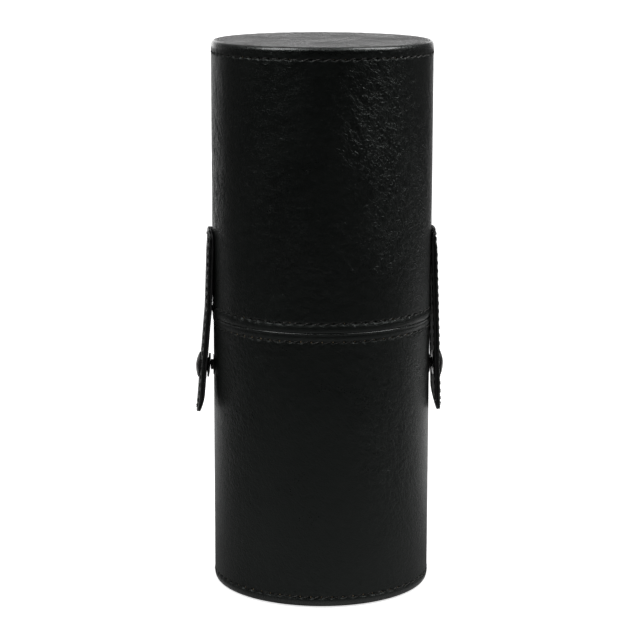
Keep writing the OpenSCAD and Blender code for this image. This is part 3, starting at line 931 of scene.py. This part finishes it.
def sums(tree, operation, first, second=0.0, third=0.0):
    """The output of one Math node"""
    return add(tree, "Math", {0: first, 1: second, 2: third}, operation=operation).outputs[0]


def times(tree, first, second, plus=None):
    """A product, with something added to it where that is given"""
    if plus is None:
        return sums(tree, "MULTIPLY", first, second)
    return sums(tree, "MULTIPLY_ADD", first, second, plus)


def ranged(tree, value, low, high, to_low=0.0, to_high=1.0):
    """A value moved softly from one range to another"""
    inputs = {"Value": value, "From Min": low, "From Max": high, "To Min": to_low, "To Max": to_high}
    return add(tree, "MapRange", inputs, interpolation_type="SMOOTHSTEP").outputs[0]


def mixed(tree, share, first, second):
    """A colour between two others"""
    inputs = {0: share, 6: first, 7: second}
    return add(tree, "Mix", inputs, data_type="RGBA").outputs[2]


def clouds(tree, place, scale, detail=2.0, rough=0.5, warp=0.0):
    """Soft noise from 0 to 1"""
    inputs = {"Vector": place, "Scale": scale, "Detail": detail, "Roughness": rough, "Distortion": warp}
    return add(tree, "TexNoise", inputs).outputs[0]


def effect(name, inputs, outputs):
    """An empty node group with named inputs and outputs, of which only Place is a vector"""
    tree = bpy.data.node_groups.new(name, "ShaderNodeTree")
    for way, labels in (("INPUT", inputs), ("OUTPUT", outputs)):
        for label in labels:
            kind = "NodeSocketVector" if label == "Place" else "NodeSocketFloat"
            tree.interface.new_socket(label, in_out=way, socket_type=kind)
    start = tree.nodes.new("NodeGroupInput").outputs
    end = tree.nodes.new("NodeGroupOutput").inputs
    return tree, start, end


def grain_effect():
    """Leather grain: pebbles between fine creases, and a net of wrinkles where it is wrinkled"""
    labels = ["Place", "Pebble", "Wrinkled", "Pit"]
    tree, start, end = effect("leather grain", labels, ["Height", "Tops"])
    drift = add(tree, "TexNoise", {"Vector": start["Place"], "Scale": 330.0, "Detail": 3.0}).outputs[1]
    drift = add(tree, "VectorMath", {0: drift, 1: (-0.5, -0.5, -0.5)}, operation="ADD").outputs[0]
    drift = add(tree, "VectorMath", {0: drift, "Scale": 0.0022}, operation="SCALE").outputs[0]
    place = add(tree, "VectorMath", {0: start["Place"], 1: drift}, operation="ADD").outputs[0]
    inputs = {"Vector": place, "Scale": start["Pebble"], "Randomness": 1.0}
    cells = add(tree, "TexVoronoi", inputs, feature="DISTANCE_TO_EDGE").outputs[0]
    pebble = ranged(tree, cells, 0.0, 0.3)
    slanted = add(
        tree, "Mapping",
        {"Vector": place, "Rotation": (0.0, math.radians(-42), 0.0), "Scale": (1.0, 1.0, 2.1)},
        vector_type="TEXTURE",
    ).outputs[0]
    inputs = {"Vector": slanted, "Scale": 620.0, "Randomness": 1.0}
    net_cells = add(tree, "TexVoronoi", inputs, feature="DISTANCE_TO_EDGE").outputs[0]
    net = ranged(tree, net_cells, 0.0, 0.3)
    fold = sums(tree, "ABSOLUTE", sums(tree, "SUBTRACT", clouds(tree, slanted, 300.0, 3.0, 0.6, 0.8), 0.5))
    wrinkle = ranged(tree, fold, 0.0, 0.11)
    small = clouds(tree, start["Place"], 5200.0, 2.0)
    deep = sums(tree, "ADD", times(tree, net, 0.9), wrinkle)
    strength = times(tree, start["Wrinkled"], 1.6, 0.05)
    height = times(tree, deep, strength, times(tree, pebble, 0.4))
    height = times(tree, small, 0.14, height)
    valley = times(tree, ranged(tree, fold, 0.0, 0.05), ranged(tree, net_cells, 0.0, 0.1))
    smooth = sums(tree, "SUBTRACT", 1.0, start["Wrinkled"])
    share = times(tree, valley, start["Wrinkled"], smooth)
    shallow = sums(tree, "SUBTRACT", 1.0, start["Pit"])
    # Tops: the pebbles and the ridges between creases, outside pits. The leather paints them lighter, a
    # painted highlight, and glossier
    tops = times(tree, times(tree, pebble, share), shallow)
    tree.links.new(height, end["Height"])
    tree.links.new(tops, end["Tops"])
    return tree


def wear_effect():
    """Wear: patchy rubbing along edges, where an edge mask says"""
    tree, start, end = effect("edge wear", ["Place", "Edge", "Size", "Amount"], ["Mask"])
    patch = clouds(tree, start["Place"], start["Size"], 4.0, 0.65)
    level = times(tree, patch, start["Edge"])
    limit = sums(tree, "SUBTRACT", 0.72, times(tree, start["Amount"], 0.35))
    over = sums(tree, "SUBTRACT", level, limit)
    tree.links.new(ranged(tree, over, 0.0, 0.22), end["Mask"])
    return tree


def dust_effect():
    """Fine dust: small pale specks in soft patches"""
    tree, start, end = effect("dust", ["Place", "Amount"], ["Mask"])
    patch = ranged(tree, clouds(tree, start["Place"], 45.0, 3.0), 0.4, 0.75)
    speck = ranged(tree, clouds(tree, start["Place"], 2600.0, 1.0), 0.62, 0.8)
    haze = times(tree, speck, 0.8, 0.2)
    level = times(tree, times(tree, patch, haze), start["Amount"])
    tree.links.new(level, end["Mask"])
    return tree


def weave_effect():
    """Plain weave of fine yarns laid on any surface, with a short nap on it"""
    tree, start, end = effect("weave", ["Place", "Count"], ["Height", "Nap"])
    parts = add(tree, "SeparateXYZ", {0: start["Place"]}).outputs
    rise = times(tree, parts[2], start["Count"])
    around = add(tree, "Math", {0: parts[0], 1: parts[1]}, operation="ARCTAN2").outputs[0]
    turn = times(tree, around, times(tree, start["Count"], 0.039))
    warp = sums(tree, "ABSOLUTE", sums(tree, "SINE", turn))
    weft = sums(tree, "ABSOLUTE", sums(tree, "SINE", rise))
    yarn = sums(tree, "MAXIMUM", warp, weft)
    nap = clouds(tree, start["Place"], 3600.0, 3.0, 0.7)
    height = times(tree, nap, 0.8, times(tree, yarn, 0.4))
    tree.links.new(height, end["Height"])
    tree.links.new(nap, end["Nap"])
    return tree


GRAIN = grain_effect()
WEAR = wear_effect()
DUST = dust_effect()
WEAVE = weave_effect()


def use(tree, group, inputs):
    """A node group placed in a material"""
    made = tree.nodes.new("ShaderNodeGroup")
    made.node_tree = group
    return fill_inputs(tree, made, inputs).outputs


def new_material(name):
    """An empty material: its tree, its Principled shader and the place on the piece"""
    material = bpy.data.materials.new(name)
    material.use_nodes = True
    tree = material.node_tree
    shader = tree.nodes["Principled BSDF"]
    place = add(tree, "TexCoord").outputs["Object"]
    return material, tree, shader, place


def mark(tree, name):
    """A value that the mesh carries at each point"""
    return add(tree, "Attribute", attribute_name=name).outputs["Fac"]


def raised(tree, height, distance):
    """A shader's normal, with relief from a height"""
    return add(tree, "Bump", {"Height": height, "Distance": distance, "Strength": 1.0}).outputs[0]


def dusted(tree, place, tone, amount, share, pale):
    """A tone with fine dust on it"""
    dust = use(tree, DUST, {"Place": place, "Amount": amount})
    return mixed(tree, times(tree, dust["Mask"], share), tone, pale)


# ---- Materials ----

NO_TINT = (1, 1, 1, 1)


def leather(
    name, dark, light, worn, pebble, depth, rough, rubbed, dusty, burnish, mottled=0.12, tint=NO_TINT
):
    """Black leather cloth: grain, wrinkles, rubbed edges, painted shade in the needle holes and grooves,
    painted highlight on the grain's tops, and a little dust
    """
    material, tree, shader, place = new_material(name)
    wrinkled, pit, edge = (mark(tree, each) for each in ("wrinkled", "pit", "edge"))
    grain = use(tree, GRAIN, {"Place": place, "Pebble": pebble, "Wrinkled": wrinkled, "Pit": pit})
    rub = use(tree, WEAR, {"Place": place, "Edge": edge, "Size": 420.0, "Amount": rubbed})
    mottle = clouds(tree, place, 60.0, 4.0, 0.6)
    tone = mixed(tree, ranged(tree, mottle, 0.3, 0.7), dark, light)
    # The grain's tops are mixed toward the light tone: a painted highlight, with the creases between left
    # darker as painted shade
    tone = mixed(tree, times(tree, grain["Tops"], 0.35), tone, light)
    # Where the pit mark lies the tone goes nearly black: painted shade in the needle holes, the stitch
    # grooves and round the snaps, and a dark line along the seams and the strap's ply join
    tone = mixed(tree, pit, tone, (0.0006, 0.0006, 0.0006, 1))
    tone = mixed(tree, times(tree, rub["Mask"], 0.5), tone, worn)
    tone = dusted(tree, place, tone, 0.5, dusty, (0.2, 0.2, 0.19, 1))
    gloss = ranged(tree, grain["Tops"], 0.0, 1.0, max(rough), min(rough))
    gloss = times(tree, sums(tree, "SUBTRACT", mottle, 0.5), mottled, gloss)
    gloss = times(tree, pit, 0.3, gloss)
    fill_inputs(tree, shader, {
        "Base Color": tone,
        "Roughness": times(tree, edge, -0.12, gloss),
        "Normal": raised(tree, grain["Height"], depth),
        "Specular Tint": tint,
        "Coat Weight": times(tree, edge, burnish),
        "Coat Roughness": 0.16,
    })
    return material


def thread_finish():
    """Bonded black thread: fine fibres along each ply and a waxed shine"""
    material, tree, shader, place = new_material("bonded thread")
    fibre = clouds(tree, place, 4200.0, 2.0, 0.6, 0.8)
    dark, light = (0.0025, 0.0026, 0.0024, 1), (0.021, 0.0215, 0.0200, 1)
    tone = mixed(tree, ranged(tree, fibre, 0.35, 0.7), dark, light)
    fill_inputs(tree, shader, {
        "Base Color": tone,
        "Roughness": ranged(tree, fibre, 0.2, 0.8, 0.16, 0.3),
        "Normal": raised(tree, fibre, 0.00004),
        "Specular Tint": (1.0, 0.99, 0.96, 1),
    })
    return material


def lacquered_metal():
    """Black lacquer on pressed metal: faint orange peel, rubbed edges with the metal showing"""
    material, tree, shader, place = new_material("black lacquered snap metal")
    peel = clouds(tree, place, 2400.0, 2.0)
    fine = clouds(tree, place, 9000.0, 3.0, 0.6)
    edge = mark(tree, "edge")
    rub = use(tree, WEAR, {"Place": place, "Edge": edge, "Size": 1500.0, "Amount": 0.7})["Mask"]
    tone = mixed(tree, ranged(tree, fine, 0.3, 0.7), (0.010, 0.010, 0.011, 1), (0.022, 0.022, 0.023, 1))
    tone = mixed(tree, rub, tone, (0.21, 0.205, 0.19, 1))
    fill_inputs(tree, shader, {
        "Base Color": dusted(tree, place, tone, 0.4, 0.06, (0.25, 0.25, 0.24, 1)),
        "Metallic": times(tree, rub, 0.9),
        "Roughness": ranged(tree, fine, 0.25, 0.75, 0.2, 0.34),
        "Normal": raised(tree, times(tree, fine, 0.3, peel), 0.00002),
    })
    return material


def bare_steel():
    """Turned steel: rings left by the tool, with a slight stain"""
    material, tree, shader, place = new_material("bare steel")
    stain = clouds(tree, place, 300.0, 4.0, 0.6)
    long_place = add(tree, "Mapping", {"Vector": place, "Scale": (1.0, 30.0, 30.0)}).outputs[0]
    lines = clouds(tree, long_place, 400.0, 2.0)
    tone = mixed(tree, stain, (0.42, 0.42, 0.43, 1), (0.6, 0.6, 0.61, 1))
    fill_inputs(tree, shader, {
        "Base Color": dusted(tree, place, tone, 0.4, 0.15, (0.2, 0.19, 0.17, 1)),
        "Roughness": ranged(tree, lines, 0.2, 0.8, 0.22, 0.42),
        "Normal": raised(tree, lines, 0.00002),
        "Metallic": 1.0,
    })
    return material


def kraft_board():
    """Grey-brown wound board: fibres, paper layers and flecks"""
    material, tree, shader, place = new_material("kraft board")
    long_place = add(tree, "Mapping", {"Vector": place, "Scale": (1.0, 1.0, 0.12)}).outputs[0]
    fibre = clouds(tree, long_place, 1800.0, 5.0, 0.7)
    cloud = clouds(tree, place, 90.0, 3.0)
    fleck = ranged(tree, clouds(tree, place, 900.0, 2.0, 0.5, 1.5), 0.66, 0.74)
    tone = mixed(tree, fibre, (0.20, 0.145, 0.085, 1), (0.40, 0.31, 0.20, 1))
    tone = mixed(tree, times(tree, cloud, 0.3), tone, (0.30, 0.27, 0.22, 1))
    tone = mixed(tree, times(tree, fleck, 0.6), tone, (0.09, 0.065, 0.04, 1))
    fill_inputs(tree, shader, {
        "Base Color": tone,
        "Roughness": ranged(tree, fibre, 0.0, 1.0, 0.78, 0.95),
        "Normal": raised(tree, fibre, 0.00008),
    })
    return material


def lining_cloth(name, dark, light, count):
    """Black velour or cloth: a fine weave under a short nap"""
    material, tree, shader, place = new_material(name)
    weave = use(tree, WEAVE, {"Place": place, "Count": count})
    patch = clouds(tree, place, 70.0, 3.0)
    tone = mixed(tree, ranged(tree, weave["Nap"], 0.3, 0.7), dark, light)
    tone = mixed(tree, ranged(tree, patch, 0.35, 0.8, 0.0, 0.3), tone, dark)
    tone = mixed(tree, times(tree, mark(tree, "pit"), 0.7), tone, (0.002, 0.002, 0.002, 1))
    fill_inputs(tree, shader, {
        "Base Color": dusted(tree, place, tone, 0.8, 0.08, (0.3, 0.3, 0.3, 1)),
        "Roughness": ranged(tree, weave["Nap"], 0.0, 1.0, 0.8, 1.0),
        "Normal": raised(tree, weave["Height"], 0.00012),
        "Sheen Weight": 0.35,
        "Sheen Roughness": 0.5,
    })
    return material


def floor_finish():
    """Pale studio floor: lit and shaded as paint and white to the camera; in reflections it has a painted
    glow behind the case and painted shade that deepens away from it
    """
    material, tree, shader, place = new_material("pale floor")
    speck = clouds(tree, place, 30.0, 2.0)
    tone = mixed(tree, speck, (0.80, 0.80, 0.80, 1), (0.83, 0.83, 0.83, 1))
    rays = add(tree, "LightPath").outputs
    reach = add(tree, "VectorMath", {0: place}, operation="LENGTH").outputs[1]
    spot = add(tree, "SeparateXYZ", {0: place}).outputs
    # Behind the case the floor glows in reflections only: a painted pool of light
    painted_rear_glow = ranged(tree, times(tree, spot[0], 0.25, spot[1]), 0.03, 0.33)
    painted_rear_glow = times(tree, painted_rear_glow, ranged(tree, reach, 0.28, 0.54, 1.0, 0.0))
    # In reflections the floor is darkened, more away from the case: painted shade
    painted_reflection_shade = ranged(tree, reach, 0.1, 0.45, 0.5, 0.95)
    painted_reflection_shade = times(tree, painted_reflection_shade, sums(tree, "SUBTRACT", 1.0, painted_rear_glow))
    shown = times(tree, rays["Is Camera Ray"], 0.75)
    fill_inputs(tree, shader, {
        "Base Color": mixed(tree, times(tree, rays["Is Glossy Ray"], painted_reflection_shade), tone, (0, 0, 0, 1)),
        "Roughness": 0.9,
        "Specular IOR Level": 0.2,
        "Emission Color": (1, 1, 1, 1),
        "Emission Strength": times(tree, times(tree, rays["Is Glossy Ray"], painted_rear_glow), 0.7, shown),
    })
    return material


# ---- The scene round the object ----


def studio_world():
    """White behind the case and to the camera, dim in front of it, as in a photo tent"""
    world = bpy.data.worlds.new("studio")
    world.use_nodes = True
    bpy.context.scene.world = world
    tree = world.node_tree
    way = add(tree, "SeparateXYZ", {0: add(tree, "TexCoord").outputs["Generated"]}).outputs
    leaning = times(tree, way[0], -0.06, way[1])
    behind = ranged(tree, leaning, 0.79, 1.04, 0.0, 1.5)
    behind = times(tree, behind, ranged(tree, way[2], 0.03, 0.4, 1.0, 0.35))
    beside = ranged(tree, way[1], -0.6, 0.4, 0.02, 0.08)
    above = ranged(tree, way[2], 0.35, 0.95, 0.0, 0.12)
    level = sums(tree, "ADD", sums(tree, "ADD", behind, beside), above)
    camera = add(tree, "LightPath").outputs["Is Camera Ray"]
    shown = sums(tree, "MAXIMUM", level, camera)
    tree.links.new(shown, tree.nodes["Background"].inputs["Strength"])
    tree.nodes["Background"].inputs["Color"].default_value = (1, 1, 1, 1)


def softbox(name, azimuth, elevation, distance, width, length, level):
    """A large soft lamp that faces the case. level is how bright its face is, white being 1"""
    lamp = bpy.data.lights.new(name, "AREA")
    lamp.shape = "RECTANGLE"
    lamp.size = width
    lamp.size_y = length
    lamp.energy = level * width * length * math.pi
    holder = in_scene(name, lamp)
    a, e = math.radians(azimuth), math.radians(elevation)
    middle = Vector((0, 0, LAMP_AIM))
    away = Vector((math.sin(a) * math.cos(e), -math.cos(a) * math.cos(e), math.sin(e)))
    holder.location = middle + away * distance
    holder.rotation_euler = (-away).to_track_quat("-Z", "Y").to_euler()


def studio_floor():
    """A round floor under the case"""
    radius, columns = 0.62, 96
    shaped = bmesh.new()
    bmesh.ops.create_circle(shaped, cap_ends=True, radius=radius, segments=columns)
    mesh = bpy.data.meshes.new("floor")
    shaped.to_mesh(mesh)
    shaped.free()
    mesh.materials.append(floor_finish())
    floor = in_scene("floor", mesh)
    floor.location = (0, 0, -0.0002)


def photo_camera():
    """The camera at the photograph's viewing angle"""
    data = bpy.data.cameras.new("camera")
    data.lens = LENS
    data.sensor_width = 36
    camera = in_scene("camera", data)
    side = math.radians(CAMERA_SIDE)
    ahead = (CAMERA_DISTANCE * math.sin(side), -CAMERA_DISTANCE * math.cos(side))
    camera.location = (*ahead, CAMERA_HEIGHT)
    pitch, yaw, roll = (math.radians(d) for d in (90 - LOOK_DOWN, CAMERA_SIDE + LOOK_LEFT, ROLL))
    turn = Matrix.Rotation(yaw, 3, "Z") @ Matrix.Rotation(pitch, 3, "X") @ Matrix.Rotation(roll, 3, "Z")
    camera.rotation_euler = turn.to_euler()
    bpy.context.scene.camera = camera
    bpy.context.scene.view_settings.view_transform = "Standard"


# ---- The object's pieces ----


def place_on(piece, body, slot, *stands_for):
    """Rides a piece on a body and hides the nodes that it stands for; slot is not used"""
    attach(piece, body)
    if stands_for:
        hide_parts(*stands_for)


def build_cups(hide, disc_hide_painted_sheen, thread):
    """The leather of both cups, its cover discs and its four rounds of stitches"""
    degrees = UPPER_R * math.pi / 180
    # Wrinkled patches: (along the wall, height, half width, half height, strength)
    upper_patches = [
        (30 * degrees, 186, 24, 34, 0.75),
        (38 * degrees, 150, 20, 38, 0.6),
        (60 * degrees, 165, 14, 55, 0.5),
        (-76 * degrees, 170, 14, 60, 0.9),
        (150 * degrees, 160, 30, 40, 0.5),
        (-130 * degrees, 190, 28, 30, 0.4),
    ]
    lower_patches = [
        (38 * degrees, 62, 24, 50, 0.4),
        (-60 * degrees, 75, 18, 50, 0.35),
        (-150 * degrees, 60, 30, 40, 0.45),
    ]
    # Long folds: (start, end, sway, half width, height)
    upper_folds = [
        ((12.5 * degrees, 189), (24.2 * degrees, 167.5), 0.5, 0.6, 0.22),
        ((23.7 * degrees, 169.5), (29 * degrees, 171), 0.3, 0.6, 0.14),
        ((14 * degrees, 205), (27 * degrees, 196), 0.6, 0.6, 0.10),
        ((17 * degrees, 207), (30 * degrees, 198.5), 0.5, 0.6, 0.09),
        ((12 * degrees, 200), (22 * degrees, 192), 0.5, 0.6, 0.07),
        ((-160 * degrees, 180), (-145 * degrees, 160), 0.8, 0.6, 0.08),
    ]
    upper = cup_leather(
        "upper_leather", UPPER_R, UPPER_H, TOP_ROW, 0, True, upper_patches, upper_folds, hide
    )
    place_on(upper, "upper_cup", "skin_leather", "upper_skin")
    lower_folds = [((120 * degrees, 70), (138 * degrees, 52), 0.7, 0.6, 0.08)]
    lower = cup_leather(
        "lower_leather", LOWER_R, PARTING, BASE_ROW, BASE_SWELL, False, lower_patches, lower_folds, hide
    )
    place_on(lower, "lower_cup", "skin_leather", "lower_skin")
    top = cover_disc("top_leather_disc", UPPER_R, CASE_H, 1, 12.4, disc_hide_painted_sheen)
    place_on(top, "upper_cup", "skin_leather", "top_cover")
    base = cover_disc("base_leather_disc", LOWER_R, 0, -1, 31.7, disc_hide_painted_sheen)
    place_on(base, "lower_cup", "skin_leather", "base_cover")
    rows = [
        ("top_row_stitches", UPPER_R, CASE_H - TOP_ROW, "upper_cup"),
        ("upper_mouth_stitches", UPPER_R, PARTING + MOUTH_ROW, "upper_cup"),
        ("lower_mouth_stitches", LOWER_R, PARTING - MOUTH_ROW, "lower_cup"),
        ("base_row_stitches", LOWER_R, BASE_ROW, "lower_cup"),
    ]
    for seed, (name, radius, height, body) in enumerate(rows):
        stitches = stitch_row(name, radius - ROW_GROOVE, height, 0.35, 0.2, thread, 3.7 * seed)
        place_on(stitches, body, "skin_leather")


def build_strap(side, front_hide, back_hide, thread):
    """Both leathers of a strap and the stitches on its two faces, bending at the fold"""
    seed = 5.5 if side == "left" else 71.5
    front = strap_ply(f"strap_{side}_front_leather", side, True, seed, front_hide)
    back = strap_ply(f"strap_{side}_back_leather", side, False, seed + 20, back_hide)
    front_row = strap_stitches(f"strap_{side}_front_stitches", side, True, thread)
    back_row = strap_stitches(f"strap_{side}_back_stitches", side, False, thread)
    for piece in (front, back, front_row, back_row):
        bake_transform(piece)
    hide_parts(f"strap_front_{side}", f"tail_front_{side}")
    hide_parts(f"strap_back_{side}", f"tail_back_{side}")


def snap_piece(name, outline, place, closed, metal):
    """A lathed snap piece, with its outer corners marked as edges"""
    columns = 72
    points, faces = lathed(outline, columns, closed)
    turns = []
    for i in range(len(outline)):
        before, here, after = (np.array(outline[(i + k) % len(outline)]) for k in (-1, 0, 1))
        first, second = here - before, after - here
        cross = first[0] * second[1] - first[1] * second[0]
        turns.append(abs(math.atan2(cross, first @ second)))
    edge = np.repeat(np.clip(np.array(turns) * 2.2, 0, 1), columns)
    return make_piece(name, place(points), faces, metal, {"edge": edge})


def build_snap(side, metal, steel):
    """Cap, socket and spring on the tail, and the stud on the lower cup"""
    tail = f"{side}_tail"
    reach_x = UPPER_R - socket_reach(side)
    cap = snap_piece(
        f"snap_{side}_cap", cap_outline(), lambda p: on_tail(side, p, STRAP_R - CAP_SEAT), False, metal
    )
    place_on(cap, tail, "snap_metal", f"snap_cap_{side}")
    socket = snap_piece(
        f"snap_{side}_socket", socket_outline(side), lambda p: on_tail(side, p, reach_x), True, metal
    )
    place_on(socket, tail, "snap_metal", f"snap_socket_{side}")
    points, faces = spring_ring(side)
    spring = make_piece(f"snap_{side}_spring", points, faces, steel)
    place_on(spring, tail, "rivet_metal")
    stud = snap_piece(
        f"snap_{side}_stud", stud_outline(), lambda p: on_wall(side, p, LOWER_R - STUD_SEAT), True, metal
    )
    place_on(stud, "lower_cup", "snap_metal", f"stud_{side}")


def build_inside(cloth, neck_cloth):
    """Linings, the neck's cloth and the two padded discs"""
    for cup, seed in (("lower", 8.2), ("upper", 23.6)):
        low, high = node_span(f"{cup}_lining")
        outline = lining_outline(high[0], ring_bore(f"{cup}_lining"), low[2], high[2])
        lining = cloth_tube(f"{cup}_lining_cloth", outline, 240, seed, cloth)
        place_on(lining, f"{cup}_cup", "lining_cloth", f"{cup}_lining")
    wrap = cloth_tube("neck_cloth", neck_outline("neck_wrap", "neck_board"), 256, 40.3, neck_cloth)
    place_on(wrap, "lower_cup", "lining_cloth", "neck_wrap")
    for name, node, body, way in (
        ("base_padded_disc", "base_pad", "lower_cup", 1),
        ("top_padded_disc", "top_pad", "upper_cup", -1),
    ):
        pad = end_pad(name, node, way, 15.8 + way, cloth)
        place_on(pad, body, "lining_cloth", node)


def dress_nodes(board, steel):
    """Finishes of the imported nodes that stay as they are"""
    for name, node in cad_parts.items():
        finish = board if name.endswith("board") else steel if "rivet" in name else None
        if finish is not None:
            node.data.materials.clear()
            node.data.materials.append(finish)
            node.data.shade_smooth()


def build():
    """Everything that shows"""
    hide = leather(
        "wrinkled black leather cloth",
        dark=(0.0006, 0.0011, 0.0009, 1), light=(0.0016, 0.0025, 0.0020, 1), worn=(0.03, 0.032, 0.03, 1),
        pebble=1500.0, depth=0.00012, rough=(0.29, 0.41), rubbed=0.35, dusty=0.05, burnish=0.9,
        tint=(0.92, 1.0, 0.96, 1),
    )
    # The discs' light tone is about ten times the wall's: a painted sheen that stands in for the grazing
    # reflection on the end faces
    disc_hide_painted_sheen = leather(
        "fine black leather cloth, painted sheen",
        dark=(0.0015, 0.0017, 0.0016, 1), light=(0.0200, 0.0210, 0.0205, 1), worn=(0.03, 0.032, 0.03, 1),
        pebble=1300.0, depth=0.00034, rough=(0.22, 0.42), rubbed=0.3, dusty=0.25, burnish=0.3,
        mottled=0.45,
    )
    strap_front = leather(
        "black strap leather",
        dark=(0.0014, 0.0016, 0.0015, 1), light=(0.0030, 0.0034, 0.0032, 1), worn=(0.02, 0.02, 0.02, 1),
        pebble=1900.0, depth=0.00008, rough=(0.34, 0.46), rubbed=0.5, dusty=0.05, burnish=0.1,
        tint=(0.94, 1.0, 0.97, 1),
    )
    strap_back = leather(
        "strap backing leather",
        dark=(0.0040, 0.0042, 0.0044, 1), light=(0.0090, 0.0094, 0.0096, 1), worn=(0.02, 0.02, 0.02, 1),
        pebble=2600.0, depth=0.00005, rough=(0.55, 0.7), rubbed=0.4, dusty=0.05, burnish=0.0,
    )
    thread = thread_finish()
    metal = lacquered_metal()
    steel = bare_steel()
    cloth = lining_cloth(
        "black lining velour", dark=(0.004, 0.004, 0.0045, 1), light=(0.012, 0.012, 0.013, 1), count=9000.0
    )
    neck_cloth = lining_cloth(
        "black neck cloth", dark=(0.005, 0.005, 0.0055, 1), light=(0.015, 0.015, 0.016, 1), count=6500.0
    )
    build_cups(hide, disc_hide_painted_sheen, thread)
    for side in SIDES:
        build_strap(side, strap_front, strap_back, thread)
        build_snap(side, metal, steel)
    build_inside(cloth, neck_cloth)
    dress_nodes(kraft_board(), steel)


build()
studio_world()
studio_floor()
for lamp_name, lamp_place in LAMPS.items():
    softbox(lamp_name, *lamp_place)
photo_camera()
